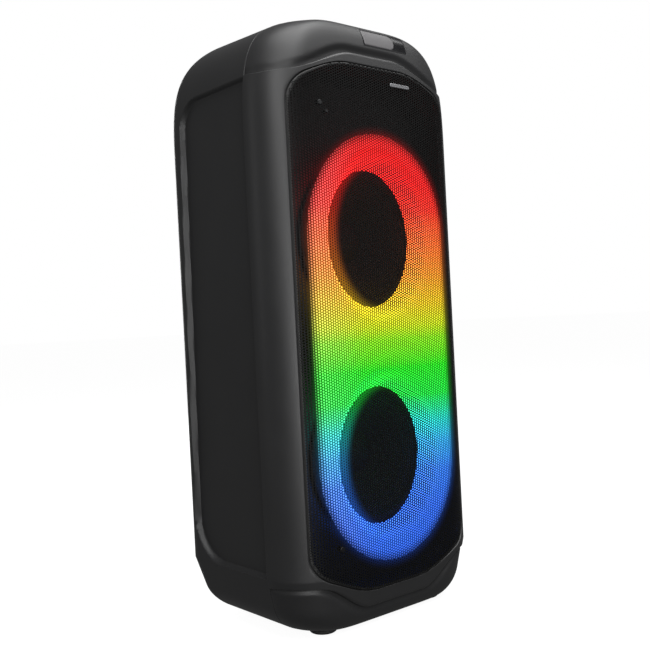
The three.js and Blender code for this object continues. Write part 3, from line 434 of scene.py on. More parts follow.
def rear_shell(material):
    """The rear shell: sides, back, base and cap in one surface, with the sunk side panels, deep screw
    wells, and openings left for the sockets, the bass port and the control deck."""
    side = np.concatenate([2 + EDGE_STEPS / REAR_SIDE, np.linspace(2.04, 2.8, 30),
                           np.linspace(2.81, 3, 22)[:-1]])
    corner = np.concatenate([np.linspace(3, 3.8, 16), np.linspace(3.83, 4, 9)[:-1]])
    back = np.concatenate([4 + np.arange(0, 8) * 0.0075, np.linspace(4.075, 5, 34)])
    q = np.concatenate([side, corner, back])
    p = np.concatenate([q, -q[-2::-1]])
    heights = np.unique(np.concatenate([CURL_HEIGHTS, np.linspace(32, BASE, 9), stack_heights(
        (61, 130, 1.15), (130, 186, 7), (186, 198, 2), (198, 290, 10), (290, 310, 1), (310, 424, 10),
        (424, 483, 2.2), (483, 497, 1), (497, 514, 2.2), (514, 556, 1.1), (556, 565, 2.5))]))
    points = np.concatenate([np.array(bottom_rows(p)), shell_grid(p, heights)])
    normal = surface_normals(points)
    x, y, z = points[..., 0], points[..., 1], points[..., 2]
    sunk = np.where(np.abs(x) > 100, side_panel_share(y, z), 0) * np.maximum(np.abs(x) - PANEL_PLANE, 0)
    sunk = sunk * (np.abs(p) < 3.5)[None, :]
    depth = np.zeros_like(x)
    for height in WELL_Z:
        reach = np.hypot(np.abs(x) - WELL_X, z - height)
        well = WELL_DEPTH * (1 - smooth(reach, 4.3, 5.4)) + EDGE_ROUND * (1 - smooth(reach, 5.2, 7.2))
        depth += np.where(y > 80, well, 0)
    points = seam_near(points, p, REAR_SIDE) - normal * depth[..., None]
    points[..., 0] -= np.sign(x) * sunk
    faces = grid(*points.shape[:2])
    centre = points.reshape(-1, 3)[faces].mean(2)
    cx, cy, cz = centre[..., 0], centre[..., 1], centre[..., 2]
    sockets = (cy > 95) & within(cx, cz, IO, 1)
    port = (cy > 95) & (np.hypot(cx, cz - PORT_Z) < PORT_RADIUS)
    deck = (cz > 600) & within(cx, cy, DECK, 1.3)
    return sheet_piece("rear_shell_outer", points, material, keep=~(sockets | port | deck),
                       away=(0, 20, 300), nodes=["rear_shell"], slot="shell")


# Front frame -------------------------------------------------------------------------------------

def brow(x):
    """Height of the frame's upper edge: level in the middle, easing down to the sides."""
    return BROW - BROW_DROP * smooth(np.abs(x), BROW_FROM, BROW_TO)


def chin(x):
    """Height of the frame's lower edge: level in the middle, easing up to the sides."""
    return CHIN + CHIN_RISE * smooth(np.abs(x), CHIN_FROM, CHIN_TO)


def curve(points, count):
    """A Bezier curve of any degree from its control points, without its last point."""
    t = np.linspace(0, 1, count + 1)[:-1, None]
    points = np.asarray(points, float)
    degree = len(points) - 1
    return sum(math.comb(degree, i) * t ** i * (1 - t) ** (degree - i) * q for i, q in enumerate(points))


OUTLINE_COUNTS = (26, 30, 24, 120, 24, 30, 34)


def grille_outline(grow):
    """The grille's outline with stepped shoulders: straight lines joined by Bezier curves, the right half
    from the middle of the bottom to the middle of the top, then the left half."""
    w, top, low = GRILLE_HALF + grow, GRILLE_TOP + grow, GRILLE_LOW - grow
    parts = [[(0, low), (26, low)], [(26, low), (50, low), (70, low + 11), (w - 22, low + 18)],
             [(w - 22, low + 18), (w, low + 27), (w, low + 49)], [(w, low + 49), (w, top - 48)],
             [(w, top - 48), (w, top - 24), (w - 23, top - 14)],
             [(w - 23, top - 14), (70, top - 7), (52, top), (34, top)], [(34, top), (0, top)]]
    right = np.concatenate([curve(part, count) for part, count in zip(parts, OUTLINE_COUNTS)])
    right = np.concatenate([right, [[0, top]]])
    left = right[-2:0:-1] * (-1, 1)
    return np.concatenate([right, left])


def frame_edge():
    """The frame's outer edge as (plan position, height), matched point by point to the grille's outline:
    along the chin, up the parting line and back along the brow."""
    stops = [(0, 0.36, 0), (0.36, 1, 0), (1, 2, 0), (2, 2, None), (2, 1, 1), (1, 0.42, 1), (0.42, 0, 1)]
    half = []
    for (start, end, edge), count in zip(stops, OUTLINE_COUNTS):
        p = np.linspace(start, end, count + 1)[:-1]
        if edge is None:
            z = np.linspace(chin(HALF), brow(HALF), count + 1)[:-1]
        else:
            x = body(p, 300 + 0 * p, HALF, FRONT)[:, 0]
            z = brow(x) if edge else chin(x)
        half.append(np.stack([p, z], -1))
    right = np.concatenate([*half, [[0, brow(0)]]])
    left = right[-2:0:-1] * (-1, 1)
    return np.concatenate([right, left])


def frame_point(p, z):
    """The raised frame's surface, which stands proud of the cap and the base."""
    return body(p, z, HALF, FRONT)


def frame_normal(p, z):
    """Normal of the frame's surface, from small steps in plan position and height."""
    step = 1e-3
    a = frame_point(p + step, z) - frame_point(p - step, z)
    b = frame_point(p, z + 0.2) - frame_point(p, z - 0.2)
    n = np.cross(a, b)
    return n / np.linalg.norm(n, axis=-1, keepdims=True)


def front_frame(material):
    """The raised frame: a ring between the grille's outline and the frame's outer edge. Across it runs a
    profile of (distance from the inner or outer edge, depth): a small roll into the grille's recess, the
    face, and a larger roll down to the cap, the base and the parting line."""
    outline, edge = grille_outline(0.5), frame_edge()
    shrink = narrowing(outline[:, 1], CROWN_Y) * (1 - base_inset(outline[:, 1]) / HALF)
    inner = np.stack([outline[:, 0] / shrink / (HALF - COLUMN), outline[:, 1]], -1)
    length = np.linalg.norm(frame_point(*edge.T) - frame_point(*inner.T), axis=-1)
    at_side = smooth(np.abs(edge[:, 0]), 1.6, 1.95)
    roll = 4.6 - 3.4 * at_side
    drop = 5.5 + 4.5 * at_side
    rows = []
    inner_roll = 1.5
    for depth in (7.0, 3.5, 1.6):
        rows.append((0 * length, depth + 0 * length))
    for a in np.radians(np.linspace(0, 90, 6)):
        rows.append((inner_roll * (1 - math.cos(a)) / length, inner_roll * (1 - math.sin(a)) + 0 * length))
    start, end = inner_roll / length, 1 - roll / length
    for t in np.linspace(0, 1, 20)[1:]:
        rows.append((start + (end - start) * t, 0 * length))
    for a in np.radians(np.linspace(0, 80, 9)[1:]):
        rows.append((end + roll / length * math.sin(a), roll * (1 - math.cos(a))))
    rows.append((end + roll / length * math.sin(math.radians(80)), drop))
    points = []
    for share, depth in rows:
        p = inner[:, 0] + (edge[:, 0] - inner[:, 0]) * share
        z = inner[:, 1] + (edge[:, 1] - inner[:, 1]) * share
        points.append(frame_point(p, z) - frame_normal(p, z) * depth[:, None])
    return sheet_piece("front_frame", np.array(points), material, closed=True, toward=(0, -1, 0),
                       nodes=["front_shell"], slot="shell", sharp=50)


# Grille ------------------------------------------------------------------------------------------

def grille_face(x):
    """Depth of the grille's bowed face."""
    return GRILLE_FRONT + BOW * (np.abs(x) / (HALF - COLUMN)) ** BOW_POWER


def inside_outline(x, z, shrink):
    """Whether points lie inside the grille's outline, shrunk: an even-odd count of outline crossings."""
    loop = grille_outline(-shrink)
    ax, az = loop[:, 0], loop[:, 1]
    bx, bz = np.roll(ax, -1), np.roll(az, -1)
    keep = np.abs(bz - az) > 1e-9
    ax, az, bx, bz = ax[keep], az[keep], bx[keep], bz[keep]
    hits = ((az > z[:, None]) != (bz > z[:, None])) & (
        x[:, None] < (bx - ax) * (z[:, None] - az) / (bz - az) + ax)
    return hits.sum(1) % 2 == 1


def perforated_sheet(material):
    """The grille's perforated field: a lattice of six-sided cells in upright columns, each a rim of six
    quads round a six-sided hole and six quads for the hole's wall."""
    columns = np.arange(-38, 39)
    rows = np.arange(-104, 105)
    c, r = np.meshgrid(columns, rows, indexing="ij")
    cx = (c * PITCH_X).ravel()
    cz = ((r + 0.5 * (c % 2)) * PITCH_Z + (GRILLE_TOP + GRILLE_LOW) / 2).ravel()
    good = inside_outline(cx, cz, 1.3)
    cx, cz = cx[good], cz[good]
    angle = np.radians(np.arange(0, 360, 60))
    cell = np.stack([np.cos(angle) * PITCH_X / 1.5, np.sin(angle) * PITCH_Z / math.sqrt(3)], -1)
    order = np.argsort(cz, kind="stable")
    for number, part in enumerate(np.array_split(order, 3)):
        middle = np.stack([cx[part], cz[part]], -1)[:, None, :]
        rim, hole = middle + cell, middle + cell * HOLE
        flat = np.concatenate([rim, hole, hole], 1)
        depth = np.array([0.0] * 6 + [0.05] * 6 + [SHEET] * 6)
        y = grille_face(flat[..., 0]) + depth
        points = np.stack([flat[..., 0], y, flat[..., 1]], -1)
        i = np.arange(6)
        j = (i + 1) % 6
        face = np.stack([i, j, j + 6, i + 6], -1)
        quads = np.concatenate([face, face + 6])
        faces = (quads[None] + 18 * np.arange(len(part))[:, None, None]).reshape(-1, 4)
        piece(f"grille_mesh_{number + 1}", points, [faces], material, toward=(0, -1, 0), weld=False,
              nodes=["grille"] if number == 0 else (), slot="grille", sharp=60)


def grille_border(material):
    """The grille's plain border, just behind the perforated field, whose outer edge rolls back."""
    steps = [(-2.4, 0.35), (-1.8, 0.3), (-1.1, 0.22), (-0.55, 0.4), (-0.15, 0.8), (0.0, 1.4), (0.0, 3.2)]
    rows = []
    for grow, depth in steps:
        loop = grille_outline(grow)
        rows.append(np.stack([loop[:, 0], grille_face(loop[:, 0]) + depth, loop[:, 1]], -1))
    return sheet_piece("grille_border", np.array(rows), material, closed=True, toward=(0, -1, 0),
                       slot="grille")


def badge_bar(material):
    """A plain pill-shaped bar with a rounded edge and a shallow dish, carried round its own outline."""
    rows = []
    profile = [(-2.6, -99.95), (-1.2, -99.98), (-0.7, -100.05), (-0.25, -99.95), (0, -99.7), (0, -98.6)]
    for grow, y in profile:
        loop = box_loop((22.0, 50.0, 548.1, 551.9), 1.8, grow if grow > -1.9 else -1.75)
        if grow < -1.9:
            loop = loop * (1, 0) + (0, 550)
        rows.append(np.stack([loop[:, 0], y + 0 * loop[:, 0], loop[:, 1]], -1))
    return sheet_piece("badge_bar", np.array(rows), material, closed=True, toward=(0, -1, 0),
                       nodes=["badge"], slot="badge")


def indicator_lens(name, x, z, radius, material):
    """A small plain lens set through the grille, standing 0.35 mm proud of it."""
    face = float(grille_face(np.array(x))) - 0.35
    profile = rounded([(0, face), (radius * 0.8, face), (radius, face + 0.5), (radius, face + 6)], 0.6)
    return turned_piece(f"{name}_lens", profile, (x, 0, z), material, segments=32, toward=(0, -1, 0),
                        nodes=[name], slot="gloss_trim")


# Light panel -------------------------------------------------------------------------------------

def light_outline(angle, centre, upward):
    """Where a ray from a woofer's centre meets the light panel's outline: the half-ellipse end on the
    outer side, straight sides and the level middle line on the inner side."""
    c, s = np.cos(angle), np.sin(angle) * upward
    outer = 1 / np.sqrt((c / LIGHT_HALF) ** 2 + (s / LIGHT_END) ** 2)
    offset = MIDDLE + LIGHT_STRAIGHT * upward - centre
    outer = np.where(s > 0, outer + np.abs(offset) * s, outer)
    side = LIGHT_HALF / np.maximum(np.abs(c), 1e-6)
    inner = np.abs(centre - MIDDLE) / np.maximum(-s, 1e-6)
    reach = np.where(s > 0, outer, np.minimum(side, inner))
    return np.cos(angle) * reach, centre + np.sin(angle) * reach


def light_half(name, upward, material, **more):
    """Half of the dished light panel: rings from the woofer opening's inner rim up the flared dish and
    out over the flat face to the panel's outline, then back over its edge."""
    centre = WOOFERS["upper" if upward > 0 else "lower"]
    corner = math.atan2(abs(centre - MIDDLE), LIGHT_HALF)
    stops = [-math.pi / 2, -corner, 0, math.pi / 2]
    quarter = np.concatenate([np.linspace(a, b, 30, endpoint=False) for a, b in zip(stops, stops[1:])])
    right = np.concatenate([quarter, [math.pi / 2]])
    left = math.pi - right[-2:0:-1]
    angle = np.concatenate([right, left]) * upward
    ox, oz = light_outline(angle, centre, upward)
    c, s = np.cos(angle), np.sin(angle)
    rows = []
    for t in np.linspace(0, 1, 15):
        grow = 1 + DISH_FLARE / DISH_Z * t
        x, bulge = DISH_X * c * grow, DISH_BULGE * math.sin(math.pi * t)
        y = DISH_REAR + (grille_face(x) + LIGHT_BACK - DISH_REAR) * t - bulge * (1 - t)
        rows.append(np.stack([x, y, centre + DISH_Z * s * grow], -1))
    rows.insert(0, rows[0] + (0, 4, 0))
    edge = rows[-1]
    for t in np.linspace(0, 1, 14)[1:]:
        x, z = edge[:, 0] + (ox - edge[:, 0]) * t, edge[:, 2] + (oz - edge[:, 2]) * t
        rows.append(np.stack([x, grille_face(x) + LIGHT_BACK, z], -1))
    outside = np.where(s * upward > -1e-3, 1, np.abs(ox) > LIGHT_HALF - 0.1)
    rows.append(rows[-1] + np.stack([0 * ox, 0.5 * outside, 0 * oz], -1))
    return sheet_piece(name, np.array(rows), material, closed=True, toward=(0, -1, 0), **more)


def baffle(material):
    """The baffle behind the grille: a flat board in the front frame's recess, with round holes for the
    woofers made by rings that run from each hole to the board's half outline, and a wall round it."""
    for position, centre in WOOFERS.items():
        upward = 1 if centre > MIDDLE else -1
        loop = grille_outline(2.0)
        half = loop[(loop[:, 1] - MIDDLE) * upward >= 0]
        angle = np.arctan2(half[:, 1] - centre, half[:, 0])
        line = np.linspace(-GRILLE_HALF - 2, GRILLE_HALF + 2, 60)
        across = np.arctan2(MIDDLE - centre + 0 * line, line)
        ring = np.concatenate([half, np.stack([line, MIDDLE + 0 * line], -1)])
        order = np.argsort(np.concatenate([angle, across]))
        ring = ring[order]
        angle = np.arctan2(ring[:, 1] - centre, ring[:, 0])
        rows = []
        for t in (0.0, 0.02, 0.3, 0.6, 1.0):
            hole = np.stack([BAFFLE_HOLE * np.cos(angle), centre + BAFFLE_HOLE * np.sin(angle)], -1)
            flat = hole + (ring - hole) * t
            y = BAFFLE_FRONT + (1.0 if t == 0 else 0.0)
            rows.append(np.stack([flat[:, 0], y + 0 * flat[:, 0], flat[:, 1]], -1))
        sheet_piece(f"baffle_{position}", np.array(rows), material, closed=True, toward=(0, -1, 0),
                    slot="shell")
    rows = []
    for y in (-95.5, -80.0, -64.0):
        loop = grille_outline(-1.0)
        rows.append(np.stack([loop[:, 0], np.maximum(y, grille_face(loop[:, 0]) + 3), loop[:, 1]], -1))
    sheet_piece("baffle_wall", np.array(rows), material, closed=True, away=(0, -80, 280), slot="shell")


# Woofers -----------------------------------------------------------------------------------------

def woofer(position, looks):
    """A woofer: a ribbed paper cone, dust cap, half-roll surround and steel basket, all turned."""
    z = WOOFERS[position]
    centre, moving = (0, 0, z), f"{position}_moving_cone"
    radius = np.linspace(61, 21, 90)
    inward = 61 - radius
    ribs = 0.5 * np.sin(inward * 1.1) * smooth(radius, 24, 30) * smooth(inward, 1, 6)
    y = -66.8 + inward * 0.655 + ribs
    profile = [*zip(radius, y), (14.4, -35.6), (14.4, -12.5)]
    turned_piece(f"{position}_cone_paper", profile, centre, looks["paper"], body=moving,
                 nodes=[f"{position}_cone"], slot="cone_paper", toward=(0, -1, 0), segments=128)
    r = np.linspace(0, 21.4, 22)
    turned_piece(f"{position}_dust_dome", [*zip(r, -50.4 + 9.0 * (r / 21.4) ** 2), (20.6, -41.0)], centre,
                 looks["paper"], body=moving, nodes=[f"{position}_dust_cap"], slot="cone_paper",
                 toward=(0, -1, 0))
    a = np.radians(np.linspace(-20, 180, 26))
    arc = zip(67.5 + 5.6 * np.cos(a[3:]), -68.6 - 5.6 * np.sin(a[3:]))
    roll = [(80, -69.3), (75.5, -69.3), *arc, (60, -67.4)]
    turned_piece(f"{position}_surround_roll", roll, centre, looks["rubber"],
                 nodes=[f"{position}_surround"], slot="rubber", toward=(0, -1, 0))
    flange = rounded([(75.4, -69.0), (81, -69.0), (83, -68.2), (83, -65.2)], 0.8)
    turned_piece(f"{position}_basket_flange", flange, centre, looks["steel"], slot="basket_steel",
                 toward=(0, -1, 0))


# Display window, trims, deck and back ---------------------------------------------------------

def trim(name, box, radius, profile, place, material, **more):
    """A trim round an opening: a profile of (grow, depth) carried round a rounded rectangle and placed on
    the surface by place(x, z, depth)."""
    rows = []
    for grow, depth in profile:
        loop = box_loop(box, radius, grow)
        rows.append(place(loop[:, 0], loop[:, 1], depth))
    return sheet_piece(name, np.array(rows), material, closed=True, **more)


def display_window(gloss, satin):
    """The display window in the cap: a gloss inlay with a rolled edge, and a satin field with one round
    end laid into it.
    The field's light grey is painted light: a far wall lit from above, seen through the window. The black
    of the inlay beside its round end is painted shade for that wall's shaded end. Both follow the cap's
    own surface."""
    def inlay(name, box, radius, profile, material, **more):
        x0, x1, z0, z1 = box
        rows = []
        for grow, depth in profile:
            loop = box_loop(box, radius, max(grow, -1.2))
            if grow < -1.2:
                middle = np.array([(x0 + x1) / 2, (z0 + z1) / 2])
                loop = middle + (loop - middle) * (1 + (grow + 1.2) / 10)
            rows.append(np.stack([loop[:, 0], front_y(loop[:, 0], loop[:, 1]) + depth, loop[:, 1]], -1))
        sheet_piece(name, np.array(rows), material, closed=True, toward=(0, -1, 0), slot="gloss_trim",
                    **more)

    rings = [(-1.2 - 10 * t, -0.3) for t in np.linspace(1, 0, 12)]
    inlay("display_bezel", WINDOW, 1.8, [*rings, (-0.4, -0.3), (-0.1, -0.2), (0, 0), (0, 1.0)], gloss,
          nodes=["display_window"])
    # painted light: this grey field stands for a far wall lit from above, and the black inlay round it for
    # shade
    field = (WINDOW[0] + 1.5, 37.0, WINDOW[2] + 1.5, WINDOW[3] - 1.5)
    rings = [(grow, -0.5) for grow, _ in rings]
    inlay("painted_lit_wall_field", field, (1.4, 7.4), [*rings, (-0.3, -0.48), (0, -0.3)], satin)


def deck_trim(material):
    """The rolled edge round the control deck, which dips to a wall around the sunk plate."""
    def place(x, y, depth):
        z = crown(x, y) + depth if depth > -20 else 0 * x + 606.4
        return np.stack([x, y, z], -1)
    profile = [(4.2, -0.5), (3.9, 0.15), (3.2, 0.4), (1.0, 0.4), (0.3, 0.2), (0, -0.4), (0, -30)]
    return trim("deck_trim", DECK, 3.0, profile, place, material, toward=(0, 0, 1), slot="shell")


def socket_trim(material):
    """The rolled edge and wall round the socket plate in the back."""
    def place(x, z, depth):
        return np.stack([x, 100.0 + depth + 0 * x, z], -1)
    profile = [(3.6, -0.6), (3.3, 0.15), (2.6, 0.35), (1.0, 0.35), (0.3, 0.1), (0, -0.5), (0, -10.5)]
    return trim("socket_trim", IO, 4.0, profile, place, material, toward=(0, 1, 0), slot="shell")


def bass_port(material):
    """The bass port: a flared mouth turned about its axis, a long bore and a closed end far inside."""
    profile = rounded([(0, 4), (26, 4), (26, 84), (29, 93), (36, 99.2), (40, 100.7), (41.6, 100.3),
                       (41.8, 98.5)], 4)
    return turned_piece("bass_port_flare", profile, (0, 0, PORT_Z), material, toward=(0, 1, 0),
                        nodes=["bass_port"], slot="socket_plastic")


def volume_knob(material):
    """A fluted knob with a rounded top edge and a dished top."""
    profile = rounded([(0, 617.2), (11, 617.0), (13.2, 618), (15.4, 616.6), (16, 614), (16, 610),
                       (15, 609.5), (3, 609.5), (3, 604.5)], 1.0)
    return turned_piece("volume_dial", profile, (0, KEY_Y, 0), material, axis="z", segments=240,
                        flute=(40, 0.7, 609.6, 616.0), body="volume_knob", nodes=["volume_knob"],
                        slot="shell")


def knob_mark(material):
    """A bright pointer bar let into the top of the knob."""
    rows = []
    for grow, z in ((-0.55, 617.75), (-0.25, 617.75), (0, 617.55), (0, 616.8)):
        loop = box_loop((-0.7, 0.7, 31.5, 35.5), 0.65, max(grow, -0.6), 6, 4)
        rows.append(np.stack([loop[:, 0], loop[:, 1], z + 0 * loop[:, 0]], -1))
    return sheet_piece("volume_mark", np.array(rows), material, closed=True, toward=(0, 0, 1),
                       body="volume_knob", slot="bright_metal")


def key_cap(number, x, material):
    """A rubber key: a rounded rectangle whose outline shrinks and rises over its rounded shoulder to a
    slightly crowned top with a small raised dot."""
    box = (x - KEY_HALF_X, x + KEY_HALF_X, KEY_Y - KEY_HALF_Y, KEY_Y + KEY_HALF_Y)
    rows = []
    for grow, z in ((0, 605.6), (0, 609.4), (-0.25, 610.0), (-0.8, 610.35), (-2.0, KEY_TOP)):
        loop = box_loop(box, 2.4, max(grow, -2.3), 8, 8)
        rows.append(np.stack([loop[:, 0], loop[:, 1], z + 0 * loop[:, 0]], -1))
    last = rows[-1]
    middle = np.array([x, KEY_Y, KEY_TOP])
    dot = middle + (last - middle) * (1.6, 1, 1)
    crown_rows = [(last, 0.6, 610.45), (last, 0.3, 610.48), (dot, 0.16, 610.5), (dot, 0.13, 610.85),
                  (dot, 0.08, 611.0), (dot, 0.0, 611.05)]
    for shape, share, z in crown_rows:
        row = middle + (shape - middle) * share
        row[:, 2] = z
        rows.append(row)
    return sheet_piece(f"key_{number}", np.array(rows), material, closed=True, toward=(0, 0, 1),
                       body=f"button_{number}", nodes=[f"button_{number}"], slot="rubber")


def jack(name, x, z, flange, bore, material):
    """A jack's collar: an eight-notched ring with a rounded edge and a deep bore."""
    profile = rounded([(bore, 78), (bore, 94.3), (bore + 0.8, 95.3), (flange - 0.8, 95.3), (flange, 94.6),
                       (flange, 93.0)], 0.5)
    return turned_piece(f"{name}_collar", profile, (x, 0, z), material, segments=96, toward=(0, 1, 0),
                        flute=(8, 0.5, 93.5, 94.9), nodes=[name], slot="bright_metal")


def trim_knob(name, x, z, material):
    """A small fluted knob on the socket plate."""
    profile = rounded([(0, 99.3), (4.6, 99.3), (6.2, 98.6), (7, 94.5), (7, 93.6), (3, 93.6), (3, 84)], 0.8)
    return turned_piece(f"{name}_dial", profile, (x, 0, z), material, segments=144,
                        flute=(18, 0.6, 93.8, 98.7), body=name, nodes=[name], slot="shell",
                        away=(x, 92, z))


def foot(name, x, y, material):
    """A round rubber foot with a shallow hollow under it."""
    profile = rounded([(0, 0.8), (9, 0.8), (10, 0), (12.6, 0), (14, 1.4), (14, 4.2), (0, 4.2)], 0.8)
    return turned_piece(f"{name}_pad", profile, (x, y, 0), material, axis="z", segments=64, nodes=[name],
                        slot="rubber", away=(x, y, 2))


# Finishes ------------------------------------------------------------------------------------------

class Socket:
    """A shader value that can be used in sums: each operator adds a Math node."""

    def __init__(self, maker, output):
        self.maker, self.output = maker, output

    def math(self, operation, first, second=0.0):
        return self.maker.node("ShaderNodeMath", {"operation": operation}, first, second)

    def __add__(self, other):
        return self.math("ADD", self, other)

    def __radd__(self, other):
        return self.math("ADD", other, self)

    def __sub__(self, other):
        return self.math("SUBTRACT", self, other)

    def __rsub__(self, other):
        return self.math("SUBTRACT", other, self)

    def __mul__(self, other):
        return self.math("MULTIPLY", self, other)

    def __rmul__(self, other):
        return self.math("MULTIPLY", other, self)

    def __truediv__(self, other):
        return self.math("DIVIDE", self, other)

    def __pow__(self, other):
        return self.math("POWER", self, other)

    def clamp(self, low, high):
        return self.math("MINIMUM", self.math("MAXIMUM", self, low), high)

    def sine(self):
        return self.math("SINE", self)

    def size(self):
        return self.math("ABSOLUTE", self)

    def step(self, low, high, first=0.0, last=1.0):
        """The first value up to low and the last value from high, eased between them."""
        eased = {"interpolation_type": "SMOOTHSTEP"}
        return self.maker.node("ShaderNodeMapRange", eased, self, low, high, first, last)


class Finish:
    """A material under construction. node() adds any node; place is the object's own coordinates."""

    def __init__(self, name):
        self.material = bpy.data.materials.new(name)
        self.material.use_nodes = True
        self.tree = self.material.node_tree
        self.shader = self.tree.nodes["Principled BSDF"]
        self.place = self.node("ShaderNodeTexCoord", out="Object")
        apart = self.tree.nodes.new("ShaderNodeSeparateXYZ")
        self.tree.links.new(self.place.output, apart.inputs[0])
        self.x, self.y, self.z = (Socket(self, o) for o in apart.outputs)

    def node(self, kind, settings=None, *values, out=0, **named):
        made = self.tree.nodes.new(kind)
        for key, value in (settings or {}).items():
            if key == "stops":
                ramp = made.color_ramp
                for _ in value[2:]:
                    ramp.elements.new(0.5)
                for element, (place, colour) in zip(ramp.elements, value):
                    element.position = place
                    element.color = (*colour, 1)
            else:
                setattr(made, key, value)
        for key, value in [*enumerate(values), *named.items()]:
            if isinstance(key, str):
                key = key.replace("_", " ")
            self.feed(made.inputs[key], value)
        return Socket(self, made.outputs[out])

    def feed(self, socket, value):
        if isinstance(value, Socket):
            self.tree.links.new(value.output, socket)
        elif socket.type == "RGBA" and len(value) == 3:
            socket.default_value = (*value, 1)
        else:
            socket.default_value = value

    def noise(self, scale, detail=3.0, rough=0.55, place=None):
        return self.node("ShaderNodeTexNoise", None, out="Fac", Vector=place or self.place, Scale=scale,
                         Detail=detail, Roughness=rough)

    def cells(self, scale, feature="F1", place=None):
        return self.node("ShaderNodeTexVoronoi", {"feature": feature}, out="Distance",
                         Vector=place or self.place, Scale=scale)

    def mix(self, share, first, second):
        made = self.tree.nodes.new("ShaderNodeMix")
        made.data_type = "RGBA"
        self.feed(made.inputs["Factor"], share)
        self.feed(made.inputs[6], first)
        self.feed(made.inputs[7], second)
        return Socket(self, made.outputs[2])

    def bump(self, height, strength, distance, normal=None):
        given = {"Normal": normal} if normal else {}
        return self.node("ShaderNodeBump", None, Height=height, Strength=strength, Distance=distance,
                         **given)

    def finish(self, **sockets):
        for key, value in sockets.items():
            self.feed(self.shader.inputs[key.replace("_", " ")], value)
        return self.material


def moulded(name, dark, light, rough, grain=1.0):
    """Satin moulded plastic: fine spark-eroded grain, soft mottling and a few polished scuffs."""
    f = Finish(name)
    grain_height = f.noise(1500, 2.0) * 0.6 + f.cells(1100) * 0.5
    mottle = f.noise(22, 4.0)
    streak = f.noise(9, 2.0, place=f.node("ShaderNodeMapping", None, f.place, Scale=(3, 3, 0.4)))
    scuff = f.noise(60, 5.0, 0.7).step(0.62, 0.72) * 0.5
    colour = f.mix((mottle * 0.6 + f.noise(700, 1.0) * 0.4).clamp(0, 1), dark, light)
    roughness = (rough - 0.06 + mottle * 0.08 + streak * 0.06 - scuff * 0.12).clamp(0.12, 0.95)
    normal = f.bump(grain_height, 0.22 * grain, 0.00012)
    return f.finish(Base_Color=colour, Roughness=roughness, Normal=normal, IOR=1.46)


def painted_steel(name, dark, light, rough):
    """Powder-coated steel: orange-peel bump and fine speckle."""
    f = Finish(name)
    peel = f.noise(1300, 2.0) + f.noise(3000, 1.0) * 0.4
    colour = f.mix(f.noise(500, 2.0), dark, light)
    roughness = (rough + (f.noise(80, 3.0) - 0.5) * 0.15).clamp(0.1, 0.9)
    return f.finish(Base_Color=colour, Roughness=roughness, Normal=f.bump(peel, 0.25, 0.00008),
                    Metallic=0.25)


def brushed_metal(name, colour, rough):
    """Brushed metal: long fine scratches along X."""
    f = Finish(name)
    along = f.node("ShaderNodeMapping", None, f.place, Scale=(0.05, 1, 1))
    scratch = f.noise(6000, 3.0, place=along)
    shade = f.mix(scratch, tuple(c * 0.8 for c in colour), colour)
    return f.finish(Base_Color=shade, Roughness=(rough + scratch * 0.15), Metallic=1.0,
                    Normal=f.bump(scratch, 0.2, 0.00005))


def soft_rubber(name, dark, light):
    """Matt rubber with a fine grain and a little dust."""
    f = Finish(name)
    fine = f.noise(2200, 3.0)
    dust = f.noise(35, 5.0).step(0.45, 0.75)
    return f.finish(Base_Color=f.mix(dust, dark, light), Roughness=(0.78 - dust * 0.1 + fine * 0.1),
                    Normal=f.bump(fine, 0.3, 0.0001))


def gloss_black(name, shine=0.5):
    """Glossy black plastic with faint smears."""
    f = Finish(name)
    smear = f.noise(40, 4.0)
    return f.finish(Base_Color=f.mix(smear, (0.004, 0.004, 0.0045), (0.009, 0.009, 0.010)),
                    Roughness=(0.12 + smear * 0.14), Normal=f.bump(f.noise(120, 2.0), 0.05, 0.0002),
                    Specular_IOR_Level=shine)


def cone_paper():
    """Pressed pulp: short fibres in the bump and a mottled near-black tint."""
    f = Finish("cone_paper")
    fibre = f.noise(900, 5.0, 0.7)
    return f.finish(Base_Color=f.mix(fibre, (0.006, 0.006, 0.006), (0.016, 0.016, 0.016)),
                    Roughness=(0.75 + fibre * 0.15), Normal=f.bump(fibre, 0.4, 0.0002))


def spider_cloth():
    """Amber woven cloth: a weave made by two crossed sine waves."""
    f = Finish("spider_cloth")
    weave = (f.x * 5200).sine() * (f.z * 5200).sine()
    return f.finish(Base_Color=f.mix(f.noise(300), (0.30, 0.20, 0.07), (0.42, 0.29, 0.11)), Roughness=0.9,
                    Normal=f.bump(weave, 0.4, 0.0002))


def circuit_board():
    """Green solder mask over faint copper traces."""
    f = Finish("circuit_board")
    trace = (f.cells(260, "DISTANCE_TO_EDGE")).step(0.03, 0.06)
    return f.finish(Base_Color=f.mix(trace, (0.02, 0.13, 0.05), (0.006, 0.06, 0.022)),
                    Roughness=(0.35 + f.noise(90) * 0.2), Normal=f.bump(trace, 0.2, 0.0001))


def battery_wrap():
    """Blue shrink wrap with soft creases."""
    f = Finish("battery_wrap")
    crease = f.noise(60, 4.0)
    return f.finish(Base_Color=f.mix(crease, (0.02, 0.09, 0.26), (0.04, 0.15, 0.36)),
                    Roughness=(0.3 + crease * 0.25), Normal=f.bump(crease, 0.3, 0.0006))


